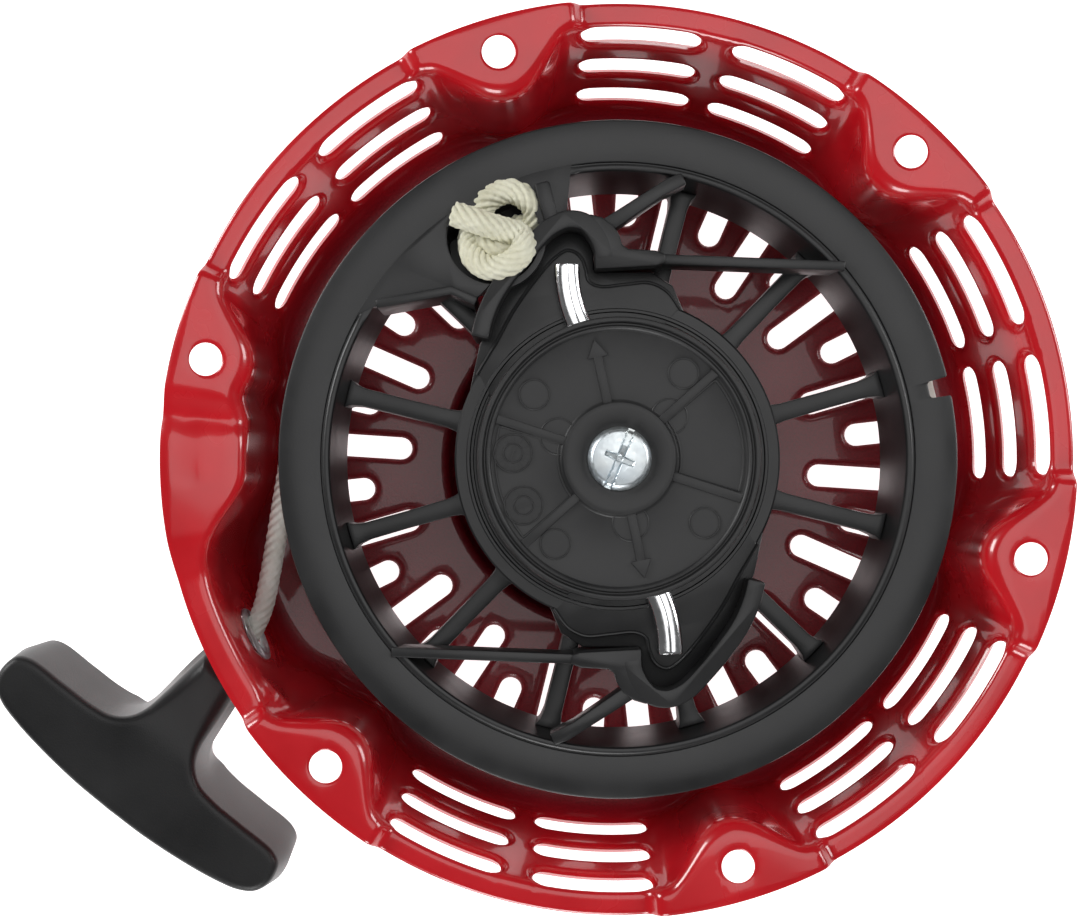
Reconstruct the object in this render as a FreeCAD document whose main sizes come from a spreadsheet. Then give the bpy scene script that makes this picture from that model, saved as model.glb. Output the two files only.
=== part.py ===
import FreeCAD, Part
import math
import os
import Sketcher

# Recoil starter of a single-cylinder engine, in millimetres.
# The origin is the centre of the bolt circle on the mounting face of the case.
# +Z points at the engine, so the dome of the case hangs below the XY plane.

SIZES = (
    ("sheet_metal", 1.6, "thickness of the pressed steel case"),
    ("rim_radius", 118, "outer radius of the mounting flange"),
    ("rim_drop", 3.5, "how far the rim between the bolt pads lies below their faces"),
    ("wall_radius", 112, "inner radius of the side wall at the mounting face"),
    ("wall_draft", 14, "draft of the side wall, degrees"),
    ("case_depth", 48, "mounting face to the inside of the floor"),
    ("cup_radius", 46, "inner radius of the centre cup"),
    ("cup_depth", 56, "mounting face to the inside of the cup"),
    ("cup_draft", 1, "how much the cup narrows towards its floor"),
    ("bolt_circle", 109, "radius of the bolt circle"),
    ("bolt_hole", 4.25, "radius of a bolt hole"),
    ("bolt_angle", 46.4, "angle of the first bolt hole"),
    ("bolt_step", 60, "angle between bolt holes"),
    ("pad_nose", 10.5, "radius of a bolt pad round its hole"),
    ("pad_half_width", 22.5, "half width of a bolt pad at the rim"),
    ("ledge_radius", 97, "inner radius of the ledge beside the rope"),
    ("ledge_start", 169.5, "first angle of the ledge"),
    ("ledge_end", 190.5, "angle at which the ledge runs out into the rim"),
    ("bulge_radius", 109.5, "inner radius of the bulged wall round the rope exit"),
    ("bulge_end", 220, "last angle of the bulged wall"),
    ("vent_height", 7, "height of a wall slot"),
    ("vent_half_length", 15.6, "half length of a wall slot"),
    ("vent_first_depth", 9, "depth of the slot row nearest the flange"),
    ("vent_pitch", 14.8, "distance between slot rows"),
    ("vent_offset", 19.7, "angle from a bolt pad to the middle of a slot group"),
    ("grille_outer", 84, "outer radius of the floor slots"),
    ("grille_long", 57, "inner radius of the long floor slots"),
    ("grille_short", 68, "inner radius of the short floor slots"),
    ("grille_width", 6.3, "width of a floor slot"),
    ("grille_angle", -3.7, "angle of the first long floor slot"),
    ("grille_step", 10, "angle from a long floor slot to the next short one"),
    ("post_radius", 8, "radius of the centre post"),
    ("post_spigot", 6, "radius of the top of the post, inside the guide"),
    ("post_foot", 13, "radius of the foot of the post"),
    ("post_foot_height", 1.5, "thickness of the foot of the post"),
    ("post_shoulder", 1, "height of the shoulder under the guide"),
    ("post_top", 6, "height of the top of the post"),
    ("rivet_radius", 5, "radius of the riveted end of the post"),
    ("rivet_head", 7.5, "radius of the rivet head outside the case"),
    ("rivet_height", 1.5, "height of the rivet head"),
    ("running_gap", 0.06, "radial clearance of a running fit"),
    ("body_gap", 0.4, "gap between parts that move past each other"),
    ("screw_radius", 3, "radius of the setting screw"),
    ("screw_length", 16, "length of the setting screw under its head"),
    ("screw_head", 8.1, "radius of the screw head"),
    ("screw_head_height", 2.6, "height of the screw head"),
    ("reel_radius", 87.7, "radius of the reel flanges"),
    ("reel_top", -2, "height of the top face of the reel rim"),
    ("reel_bottom", -26, "height of the underside of the reel rim"),
    ("flange_width", 3, "thickness of a reel flange"),
    ("groove_radius", 76, "radius of the bottom of the rope groove"),
    ("rim_inner_top", 74.4, "inner radius of the reel rim at its top"),
    ("rim_inner_bottom", 72.7, "inner radius of the reel rim at its bottom"),
    ("hub_radius", 42.3, "outer radius of the reel hub"),
    ("hub_wall", 2.5, "thickness of the hub wall"),
    ("hub_bottom", -53, "height of the lower edge of the hub wall"),
    ("deck_top", -5, "height of the deck that carries the ratchets"),
    ("deck_thickness", 4, "thickness of the deck"),
    ("boss_radius", 12, "outer radius of the reel boss round the post"),
    ("spoke_width", 5, "width of a spoke"),
    ("spoke_top", -14, "height of the top of a spoke"),
    ("spoke_height", 10, "height of a spoke"),
    ("spoke_angle", 16, "angle of the first spoke"),
    ("guard_width", 5, "width of the guard walls round the ratchets"),
    ("fence_width", 3, "width of the straight fences and ribs"),
    ("notch_angle", 12.5, "angle of the rope notch in the rim"),
    ("notch_width", 4.6, "width of the rope notch"),
    ("notch_depth", 5.4, "depth of the rope notch"),
    ("knot_x", -32.1, "middle of the knot pocket"),
    ("knot_y", 57.4, "middle of the knot pocket"),
    ("knot_radius", 12.5, "radius of the knot pocket"),
    ("pivot_x", 14, "ratchet pivot"),
    ("pivot_y", 22, "ratchet pivot"),
    ("pin_radius", 3, "radius of the ratchet pin"),
    ("pin_length", 10.5, "length of the ratchet pin under the ratchet"),
    ("ratchet_width", 6.4, "width of a ratchet"),
    ("ratchet_bottom", -4.7, "height of the underside of a ratchet"),
    ("ratchet_height", 7.3, "height of a ratchet"),
    ("ratchet_tip", 49.7, "how far the square tip of a ratchet stands from the axis"),
    ("ratchet_swing", 6, "how far a ratchet swings out, degrees"),
    ("stub_radius", 2, "radius of the stub that runs in the guide"),
    ("stub_height", 1.3, "height of the stub"),
    ("stub_x", 1.5, "place of the stub"),
    ("stub_y", 24.6, "place of the stub"),
    ("guide_turn", 25, "how far the guide lags behind the reel, degrees"),
    ("guide_radius", 36, "radius of the ratchet guide"),
    ("guide_bottom", 3, "height of the underside of the guide disc"),
    ("guide_top", 5.4, "height of the top of the guide disc"),
    ("guide_ring", 33, "inner radius of the raised ring of the guide"),
    ("guide_ring_top", 6, "height of the raised ring"),
    ("collar_radius", 14, "radius of the collar of the guide"),
    ("collar_top", 5.8, "height of the top of the collar"),
    ("wire", 0.6, "radius of the wire of the small springs"),
    ("spring_strip", 0.8, "thickness of the recoil spring strip"),
    ("spring_width", 13, "width of the recoil spring strip"),
    ("spring_inner", 13.5, "inner radius of the recoil spring"),
    ("spring_pitch", 2.4, "distance between turns of the recoil spring"),
    ("spring_turns", 10, "turns of the recoil spring"),
    ("rope_radius", 3, "radius of the rope"),
    ("rope_exit_radius", 110.3, "distance of the rope exit from the axis"),
    ("rope_exit_angle", 205.9, "angle of the rope exit"),
    ("rope_exit_z", -25, "height of the rope exit"),
    ("pull_angle", 231.5, "direction in which the rope is pulled, degrees"),
    ("eyelet_bore", 5.2, "radius of the bore of the eyelet"),
    ("eyelet_radius", 6.2, "radius of the barrel of the eyelet"),
    ("eyelet_flange", 8, "radius of the lips of the eyelet"),
    ("eyelet_lip", 1, "thickness of a lip of the eyelet"),
    ("grip_distance", 47.75, "rope exit to the middle of the grip bar"),
    ("grip_length", 94, "length of the grip bar"),
    ("grip_width", 21.5, "width of the grip bar along the rope, at its middle"),
    ("grip_height", 25, "height of the grip bar"),
    ("grip_crown", 166, "radius of the outer edge of the grip bar seen from above"),
    ("grip_rounding", 5.5, "rounding of the edges of the grip bar"),
    ("neck_length", 29, "length of the neck of the grip"),
    ("neck_wide", 10, "radius of the neck at the bar"),
    ("neck_narrow", 6.5, "radius of the neck at its mouth"),
    ("grip_bore", 3.4, "radius of the rope bore of the grip"),
    ("grip_pocket", 8, "radius of the knot pocket of the grip"),
    ("grip_pocket_depth", 13, "depth of the knot pocket of the grip"),
    ("grip_knot_half_length", 5, "half length of the knot in the grip"),
    ("grip_knot_half_width", 7, "half width of the knot in the grip"),
    ("reel_knot_half_height", 8, "half height of the knot on the reel"),
    ("reel_knot_half_width", 9.5, "half width of the knot on the reel"),
    ("reel_knot_z", -6, "height of the middle of the knot on the reel"),
    ("insert_thickness", 1.5, "thickness of the insert under the knot"),
)

document = FreeCAD.newDocument("recoil_starter")
sizes = document.addObject("Spreadsheet::Sheet", "Sizes")
NODES = []


def vector(x, y, z=0.0):
    return FreeCAD.Vector(x, y, z)


def fill_sheet():
    for row, (alias, size, meaning) in enumerate(SIZES, start=1):
        sizes.set(f"A{row}", meaning)
        sizes.set(f"B{row}", str(size))
        sizes.setAlias(f"B{row}", alias)
    document.recompute()


def value(expression):
    """Number that an expression of the sheet's cells gives."""
    found = sizes.evalExpression(expression)
    return float(getattr(found, "Value", found))


def bind(item, **expressions):
    for name, expression in expressions.items():
        item.setExpression(name.replace("__", "."), expression)
    return item


def place(item, x="0", y="0", z="0", turn=None):
    """Put a primitive at a bound place, turned about Z by a bound angle."""
    if turn:
        item.Placement = FreeCAD.Placement(vector(0, 0), FreeCAD.Rotation(vector(0, 0, 1), 1))
        item.setExpression("Placement.Rotation.Angle", turn)
    bind(item, Placement__Base__x=x, Placement__Base__y=y, Placement__Base__z=z)
    return item


def cylinder(name, radius, height, **where):
    item = document.addObject("Part::Cylinder", name)
    bind(item, Radius=radius, Height=height)
    return place(item, **where)


def box(name, length, width, height, **where):
    item = document.addObject("Part::Box", name)
    bind(item, Length=length, Width=width, Height=height)
    return place(item, **where)


def ring(name, radius, wire, **where):
    item = document.addObject("Part::Torus", name)
    bind(item, Radius1=radius, Radius2=wire)
    return place(item, **where)


EXIT_X = "Sizes.rope_exit_radius * cos(Sizes.rope_exit_angle * 1 deg)"
EXIT_Y = "Sizes.rope_exit_radius * sin(Sizes.rope_exit_angle * 1 deg)"


def through_exit(item, offset, angle="Sizes.pull_angle"):
    """Lay a shape made along +Z outwards through the rope exit, along the pull unless told."""
    turn = FreeCAD.Rotation(vector(0, 0, 1), value(angle))
    tilt = FreeCAD.Rotation(vector(0, 1, 0), 90)
    item.Placement = FreeCAD.Placement(vector(0, 0), turn.multiply(tilt))
    bind(
        item,
        Placement__Base__x=f"{EXIT_X} + ({offset}) * cos({angle} * 1 deg)",
        Placement__Base__y=f"{EXIT_Y} + ({offset}) * sin({angle} * 1 deg)",
        Placement__Base__z="Sizes.rope_exit_z",
    )
    return item


def fuse(name, items):
    item = document.addObject("Part::MultiFuse", name)
    item.Shapes = items
    return item


def cut(name, base, tool):
    item = document.addObject("Part::Cut", name)
    item.Base = base
    item.Tool = tool
    return item


def node(item, label):
    """Mark a finished object as a sub-part with a label of its own."""
    item.Label = label
    NODES.append(item)
    return item


def origin_feature(body, role):
    return next(item for item in body.Origin.OriginFeatures if item.Role == role)


def sketch_on(body, name, role, height="0", turn=None):
    """Sketch on an origin plane, lifted by height and turned about the vertical axis."""
    sketch = body.newObject("Sketcher::SketchObject", name)
    sketch.AttachmentSupport = (origin_feature(body, role), [""])
    sketch.MapMode = "FlatFace"
    axis = vector(0, 0, 1) if role == "XY_Plane" else vector(0, 1, 0)
    sketch.AttachmentOffset = FreeCAD.Placement(vector(0, 0), FreeCAD.Rotation(axis, 1))
    sketch.setExpression("AttachmentOffset.Rotation.Angle", turn or "0")
    sketch.setExpression("AttachmentOffset.Base.z", height)
    return sketch


def pin_point(sketch, geometry, point, x, y):
    """Hold one point of a sketch at bound coordinates."""
    for kind, axis, expression in (("DistanceX", -2, x), ("DistanceY", -1, y)):
        size = value(expression)
        if abs(size) < 1e-9:
            sketch.addConstraint(Sketcher.Constraint("PointOnObject", geometry, point, axis))
            continue
        at = sketch.addConstraint(Sketcher.Constraint(kind, -1, 1, geometry, point, size))
        sketch.setExpression(f"Constraints[{at}]", expression)


def polygon(sketch, corners):
    """Closed outline with corners at pairs of bound coordinates."""
    first = sketch.GeometryCount
    places = [vector(value(x), value(y)) for x, y in corners]
    following = places[1:] + places[:1]
    for start, end in zip(places, following):
        sketch.addGeometry(Part.LineSegment(start, end))
    count = len(corners)
    for index in range(count):
        after = first + (index + 1) % count
        sketch.addConstraint(Sketcher.Constraint("Coincident", first + index, 2, after, 1))
    for index, (x, y) in enumerate(corners):
        pin_point(sketch, first + index, 1, x, y)
    return sketch


def rounded_slot(sketch, start, end, middle, radius):
    """Slot along the sketch's x axis between two arc centres."""
    first = sketch.GeometryCount
    low, high, level, size = (value(text) for text in (start, end, middle, radius))
    upright = vector(0, 0, 1)
    right_circle = Part.Circle(vector(high, level), upright, size)
    left_circle = Part.Circle(vector(low, level), upright, size)
    sketch.addGeometry(Part.LineSegment(vector(low, level - size), vector(high, level - size)))
    sketch.addGeometry(Part.ArcOfCircle(right_circle, -math.pi / 2, math.pi / 2))
    sketch.addGeometry(Part.LineSegment(vector(high, level + size), vector(low, level + size)))
    sketch.addGeometry(Part.ArcOfCircle(left_circle, math.pi / 2, 3 * math.pi / 2))
    for index in range(4):
        after = first + (index + 1) % 4
        sketch.addConstraint(
            Sketcher.Constraint("Tangent", first + index, 2, after, 1)
        )
    sketch.addConstraint(Sketcher.Constraint("Horizontal", first))
    sketch.addConstraint(Sketcher.Constraint("Horizontal", first + 2))
    pin_point(sketch, first + 1, 3, end, middle)
    at = sketch.addConstraint(Sketcher.Constraint("Radius", first + 1, size))
    sketch.setExpression(f"Constraints[{at}]", radius)
    left = sketch.addConstraint(Sketcher.Constraint("DistanceX", -1, 1, first + 3, 3, low))
    sketch.setExpression(f"Constraints[{left}]", start)
    return sketch


def circle(sketch, x, y, radius):
    first = sketch.GeometryCount
    outline = Part.Circle(vector(value(x), value(y)), vector(0, 0, 1), value(radius))
    sketch.addGeometry(outline)
    pin_point(sketch, first, 3, x, y)
    at = sketch.addConstraint(Sketcher.Constraint("Radius", first, value(radius)))
    sketch.setExpression(f"Constraints[{at}]", radius)
    return sketch


def pad_outline(sketch, nose, half_width, outside):
    """Nose round a bolt hole with straight sides that open out to the rim."""
    middle, size = value("Sizes.bolt_circle"), value(nose)
    far_x, far_y = value(outside), value(half_width)
    reach = math.hypot(far_x - middle, far_y)
    lean = math.atan2(far_y, far_x - middle) + math.acos(size / reach)
    touch = vector(middle + size * math.cos(lean), size * math.sin(lean))
    mirror = vector(touch.x, -touch.y)
    nose_circle = Part.Circle(vector(middle, 0), vector(0, 0, 1), size)
    sketch.addGeometry(Part.ArcOfCircle(nose_circle, lean, 2 * math.pi - lean))
    sketch.addGeometry(Part.LineSegment(mirror, vector(far_x, -far_y)))
    sketch.addGeometry(Part.LineSegment(vector(far_x, -far_y), vector(far_x, far_y)))
    sketch.addGeometry(Part.LineSegment(vector(far_x, far_y), touch))
    sketch.addConstraint(Sketcher.Constraint("Tangent", 0, 2, 1, 1))
    sketch.addConstraint(Sketcher.Constraint("Coincident", 1, 2, 2, 1))
    sketch.addConstraint(Sketcher.Constraint("Coincident", 2, 2, 3, 1))
    sketch.addConstraint(Sketcher.Constraint("Tangent", 3, 2, 0, 1))
    pin_point(sketch, 0, 3, "Sizes.bolt_circle", "0")
    pin_point(sketch, 2, 1, outside, f"-({half_width})")
    pin_point(sketch, 2, 2, outside, half_width)
    at = sketch.addConstraint(Sketcher.Constraint("Radius", 0, size))
    sketch.setExpression(f"Constraints[{at}]", nose)
    return sketch


def feature(body, kind, name, sketch, **settings):
    item = body.newObject(f"PartDesign::{kind}", name)
    item.Profile = sketch
    if kind in ("Revolution", "Groove"):
        item.ReferenceAxis = (origin_feature(body, "Z_Axis"), [""])
    for setting, content in settings.items():
        if isinstance(content, str) and setting in ("Length", "Angle"):
            item.setExpression(setting, content)
        else:
            setattr(item, setting, content)
    return item


def polar(body, name, original, occurrences, angle=360):
    pattern = body.newObject("PartDesign::PolarPattern", name)
    pattern.Originals = [original]
    pattern.Axis = (origin_feature(body, "Z_Axis"), [""])
    pattern.Angle = angle
    pattern.Occurrences = occurrences
    body.Tip = pattern
    document.recompute()
    return pattern


def new_body(name):
    return document.addObject("PartDesign::Body", name)


def shared_end(line, index):
    """The ends at which one edge of a sketch meets the next. An arc always runs anticlockwise."""
    pairs = [(first, second) for first in (1, 2) for second in (1, 2)]

    def gap(pair):
        return line.getPoint(index, pair[0]).distanceToPoint(line.getPoint(index + 1, pair[1]))

    first, second = min(pairs, key=gap)
    return index, first, index + 1, second


def ribbon(name, edges, width, bottom, height):
    """Upright wall of bound width, with round ends, along an open line in the XY plane."""
    line = document.addObject("Sketcher::SketchObject", f"{name}_line")
    for edge in edges:
        line.addGeometry(edge)
    for index in range(len(edges) - 1):
        line.addConstraint(Sketcher.Constraint("Coincident", *shared_end(line, index)))
    band = document.addObject("Part::Offset2D", f"{name}_band")
    band.Source = line
    band.Mode = "Pipe"
    band.Join = "Arc"
    band.Fill = True
    band.setExpression("Value", f"{width} / 2")
    wall = document.addObject("Part::Extrusion", name)
    wall.Base = band
    wall.DirMode = "Custom"
    wall.Dir = vector(0, 0, 1)
    wall.Solid = True
    wall.setExpression("LengthFwd", height)
    bind(wall, Placement__Base__z=bottom)
    return wall


def half_turn(item):
    """The same shape on the other side of the axis."""
    other = document.addObject("Part::Compound", f"{item.Name}_opposite")
    other.Links = [item]
    other.Placement = FreeCAD.Placement(vector(0, 0), FreeCAD.Rotation(vector(0, 0, 1), 180))
    return other


# --- Case -----------------------------------------------------------------

WALL = "Sizes.sheet_metal / cos(Sizes.wall_draft * 1 deg)"


def wall_at(depth):
    """Inner radius of the side wall at a depth below the mounting face."""
    return f"(Sizes.wall_radius - ({depth}) * tan(Sizes.wall_draft * 1 deg))"


def case_section(body):
    """Sheet section from the rim to the hole for the post."""
    floor = "Sizes.case_depth"
    under = "(Sizes.case_depth + Sizes.sheet_metal)"
    cup_floor = "Sizes.cup_radius - Sizes.cup_draft"
    back = "(Sizes.rim_drop + Sizes.sheet_metal)"
    corners = (
        ("Sizes.rim_radius", "-Sizes.rim_drop"),
        (wall_at("Sizes.rim_drop"), "-Sizes.rim_drop"),
        (wall_at(floor), f"-{floor}"),
        ("Sizes.cup_radius", f"-{floor}"),
        (cup_floor, "-Sizes.cup_depth"),
        ("Sizes.rivet_radius", "-Sizes.cup_depth"),
        ("Sizes.rivet_radius", "-(Sizes.cup_depth + Sizes.sheet_metal)"),
        (f"{cup_floor} + Sizes.sheet_metal", "-(Sizes.cup_depth + Sizes.sheet_metal)"),
        ("Sizes.cup_radius + Sizes.sheet_metal", f"-{under}"),
        (f"{wall_at(under)} + {WALL}", f"-{under}"),
        (f"{wall_at(back)} + {WALL}", f"-{back}"),
        ("Sizes.rim_radius", f"-{back}"),
    )
    section = polygon(sketch_on(body, "case_section", "XZ_Plane"), corners)
    feature(body, "Revolution", "case_shell", section)


def at_angle(radius, angle):
    """Bound coordinates of a point at a radius and an angle about the axis."""
    return f"({radius}) * cos(({angle}) * 1 deg)", f"({radius}) * sin(({angle}) * 1 deg)"


def ledge_corners(inset):
    """Corners of the ledge beside the rope, drawn in from its edge by an inset."""
    first, last = "Sizes.ledge_start", "Sizes.ledge_end"
    inner = f"Sizes.ledge_radius + {inset}"
    outer = f"Sizes.rim_radius - 1 + 4 * {inset}"
    return [
        at_angle(inner, f"{first} + {inset} / 2"),
        at_angle(inner, "178"),
        at_angle(f"{inner} + 2", "184.5"),
        at_angle(f"{inner} + 10", f"{last} - {inset} / 4"),
        at_angle(outer, f"{last} - {inset} / 4"),
        at_angle(outer, "180"),
        at_angle(outer, f"{first} + {inset} / 2"),
    ]


def case_pads(body):
    """Bolt pads, raised over the rim, and the ledge: columns pressed in down to the floor."""
    sketch = sketch_on(body, "pad_outline", "XY_Plane", turn="Sizes.bolt_angle")
    pad_outline(sketch, "Sizes.pad_nose", "Sizes.pad_half_width", "Sizes.rim_radius + 2")
    column = feature(body, "Pad", "pad_column", sketch, Length="Sizes.case_depth", Reversed=True)
    polar(body, "pad_columns", column, 6)
    ledge = sketch_on(body, "ledge_outline", "XY_Plane", "-Sizes.rim_drop")
    polygon(ledge, ledge_corners("0"))
    depth = "Sizes.case_depth - Sizes.rim_drop"
    feature(body, "Pad", "ledge_column", ledge, Length=depth, Reversed=True)


def case_hollows(body):
    """Open the backs of the pads and the ledge, then trim them to the dome and the rim."""
    below = "-Sizes.sheet_metal"
    sketch = sketch_on(body, "pad_hollow", "XY_Plane", below, "Sizes.bolt_angle")
    nose = "Sizes.pad_nose - Sizes.sheet_metal"
    pad_outline(sketch, nose, "Sizes.pad_half_width - 1", "Sizes.rim_radius + 5")
    hollow = feature(body, "Pocket", "pad_back", sketch, Type="ThroughAll")
    polar(body, "pad_backs", hollow, 6)
    back = "(Sizes.rim_drop + Sizes.sheet_metal)"
    ledge = sketch_on(body, "ledge_hollow", "XY_Plane", f"-{back}")
    polygon(ledge, ledge_corners("Sizes.sheet_metal"))
    feature(body, "Pocket", "ledge_back", ledge, Type="ThroughAll")
    under = "(Sizes.case_depth + Sizes.sheet_metal)"
    outside = (
        ("Sizes.rim_radius", "1"),
        ("Sizes.rim_radius", f"-{back}"),
        (f"{wall_at(back)} + {WALL}", f"-{back}"),
        (f"{wall_at(under)} + {WALL}", f"-{under}"),
        ("Sizes.rim_radius + 10", f"-{under}"),
        ("Sizes.rim_radius + 10", "1"),
    )
    trim = polygon(sketch_on(body, "case_outside", "XZ_Plane"), outside)
    feature(body, "Groove", "case_trim", trim)


def bulge_arc(radius, first, last):
    """Corners along the bulged wall, from its first angle to its last."""
    return [at_angle(radius, f"{first} + ({last} - {first}) * {step} / 5") for step in range(6)]


def case_bulge(body):
    """Bulged wall round the rope exit: a block outside the dome, hollowed from inside."""
    back = "(Sizes.rim_drop + Sizes.sheet_metal)"
    outer = "Sizes.bulge_radius + Sizes.sheet_metal"
    block = sketch_on(body, "bulge_outline", "XY_Plane", f"-{back}")
    corners = bulge_arc(outer, "191.5", "(Sizes.bulge_end + 1)")
    corners += [at_angle("99", "Sizes.bulge_end + 1"), at_angle("99", "188")]
    polygon(block, corners)
    depth = "Sizes.case_depth - Sizes.rim_drop"
    feature(body, "Pad", "bulge_block", block, Length=depth, Reversed=True)
    inside = sketch_on(body, "bulge_inside", "XY_Plane")
    hollow = bulge_arc("Sizes.bulge_radius", "193", "Sizes.bulge_end")
    hollow += [at_angle("97", "Sizes.bulge_end"), at_angle("90", "205"), at_angle("97", "187")]
    polygon(inside, hollow)
    feature(body, "Pocket", "bulge_hollow", inside, Length="Sizes.case_depth")


def case_openings(body):
    """Wall slots in five of the six sectors, floor slots and bolt holes."""
    for side, after_pad in (
        ("near", "Sizes.vent_offset"),
        ("far", "Sizes.bolt_step - Sizes.vent_offset"),
    ):
        turn = f"Sizes.bolt_angle + 180 + {after_pad}"
        rows = sketch_on(body, f"vents_{side}", "YZ_Plane", turn=turn)
        for row in range(3):
            level = f"-(Sizes.vent_first_depth + {row} * Sizes.vent_pitch)"
            half = "Sizes.vent_half_length - Sizes.vent_height / 2"
            rounded_slot(rows, f"-({half})", half, level, "Sizes.vent_height / 2")
        vents = feature(
            body, "Pocket", f"vent_group_{side}", rows, Length="Sizes.rim_radius + 5", Reversed=True
        )
        polar(body, f"vent_groups_{side}", vents, 5, 240)
    for name, inner, step in (("long", "Sizes.grille_long", 0), ("short", "Sizes.grille_short", 1)):
        turn = f"Sizes.grille_angle + {step} * Sizes.grille_step"
        sketch = sketch_on(body, f"grille_{name}", "XY_Plane", turn=turn)
        radius = "Sizes.grille_width / 2"
        rounded_slot(sketch, f"{inner} + {radius}", f"Sizes.grille_outer - {radius}", "0", radius)
        slot = feature(body, "Pocket", f"grille_slot_{name}", sketch, Type="ThroughAll")
        polar(body, f"grille_slots_{name}", slot, 18)
    sketch = sketch_on(body, "bolt_outline", "XY_Plane", turn="Sizes.bolt_angle")
    circle(sketch, "Sizes.bolt_circle", "0", "Sizes.bolt_hole")
    hole = feature(body, "Pocket", "bolt_hole", sketch, Type="ThroughAll")
    polar(body, "bolt_holes", hole, 6)


def starter_case():
    body = new_body("case_body")
    case_section(body)
    case_pads(body)
    case_hollows(body)
    case_bulge(body)
    case_openings(body)
    hole = cylinder("exit_hole", "Sizes.eyelet_radius", "10")
    through_exit(hole, "-5", "Sizes.rope_exit_angle")
    node(cut("case_finished", body, hole), "starter_case")


# --- Post, screw and washers ------------------------------------------------


def centre_post():
    body = new_body("post_body")
    foot = "-(Sizes.cup_depth - Sizes.post_foot_height)"
    underside = "-(Sizes.cup_depth + Sizes.sheet_metal)"
    corners = (
        ("0", f"{underside} - Sizes.rivet_height"),
        ("Sizes.rivet_head", f"{underside} - Sizes.rivet_height"),
        ("Sizes.rivet_head", underside),
        ("Sizes.rivet_radius", underside),
        ("Sizes.rivet_radius", "-Sizes.cup_depth"),
        ("Sizes.post_foot", "-Sizes.cup_depth"),
        ("Sizes.post_foot", foot),
        ("Sizes.post_radius", foot),
        ("Sizes.post_radius", "Sizes.post_shoulder"),
        ("Sizes.post_spigot", "Sizes.post_shoulder"),
        ("Sizes.post_spigot", "Sizes.post_top"),
        ("Sizes.screw_radius", "Sizes.post_top"),
        ("Sizes.screw_radius", "Sizes.post_top - Sizes.screw_length - 2"),
        ("0", "Sizes.post_top - Sizes.screw_length - 2"),
    )
    section = polygon(sketch_on(body, "post_section", "XZ_Plane"), corners)
    feature(body, "Revolution", "post", section)
    node(body, "centre_post")


def setting_screw():
    shank = cylinder(
        "screw_shank",
        "Sizes.screw_radius",
        "Sizes.screw_length",
        z="Sizes.post_top - Sizes.screw_length",
    )
    head = cylinder("screw_disc", "Sizes.screw_head", "Sizes.screw_head_height", z="Sizes.post_top")
    round_head = document.addObject("Part::Fillet", "screw_round_head")
    round_head.Base = head
    document.recompute()
    top = next(
        index
        for index, edge in enumerate(head.Shape.Edges, start=1)
        if edge.Closed and edge.BoundBox.ZMin > value("Sizes.post_top") + 1
    )
    round_head.Edges = [(top, 1.6, 1.6)]
    sockets = []
    for index, turn in enumerate(("25", "115")):
        middle = "Sizes.post_top + Sizes.screw_head_height - 1.4"
        bar = box(f"screw_cross_{index}", "7.6", "1.5", "2", z=middle, turn=turn)
        lean = f"({turn}) * 1 deg"
        bind(
            bar,
            Placement__Base__x=f"-3.8 * cos({lean}) + 0.75 * sin({lean})",
            Placement__Base__y=f"-3.8 * sin({lean}) - 0.75 * cos({lean})",
        )
        sockets.append(bar)
    whole = fuse("screw_whole", [shank, round_head])
    node(cut("screw_finished", whole, fuse("screw_cross", sockets)), "setting_screw")


def reel_washer():
    level = "Sizes.deck_top + Sizes.body_gap"
    disc = cylinder("washer_disc", "Sizes.boss_radius", "0.8", z=level)
    bore = cylinder("washer_bore", "Sizes.post_radius", "0.8", z=level)
    node(cut("washer_finished", disc, bore), "reel_washer")


def friction_spring():
    """Wire clip gripping the post, with two legs that drag on the guide."""
    middle = "-2.4"
    clip = ring("clip_ring", "Sizes.post_radius + Sizes.wire", "Sizes.wire", z=middle)
    legs = []
    for name, turn in (("a", 150), ("b", 210)):
        lean = math.radians(turn)
        leg = cylinder(f"clip_leg_{name}", "Sizes.wire", "4.5")
        flat = FreeCAD.Rotation(vector(0, 0, 1), turn).multiply(
            FreeCAD.Rotation(vector(0, 1, 0), 90)
        )
        leg.Placement = FreeCAD.Placement(vector(0, 0), flat)
        bind(
            leg,
            Placement__Base__x=f"(Sizes.post_radius + Sizes.wire) * {math.cos(lean):.4f}",
            Placement__Base__y=f"(Sizes.post_radius + Sizes.wire) * {math.sin(lean):.4f}",
            Placement__Base__z=middle,
        )
        legs.append(leg)
    node(fuse("clip", [clip] + legs), "friction_spring")


# --- Recoil spring ----------------------------------------------------------


def spiral_side(growth, turns, start):
    """Half circles about two alternating centres, so the line grows by a pitch each turn."""
    edges = []
    radius = start
    centre = 0.0
    for half in range(2 * turns):
        sign = 1 if half % 2 == 0 else -1
        a = vector(centre + sign * radius, 0)
        b = vector(centre, sign * radius)
        c = vector(centre - sign * radius, 0)
        edges.append(Part.Arc(a, b, c).toShape())
        centre += sign * growth / 2
        radius += growth / 2
    return edges


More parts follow.
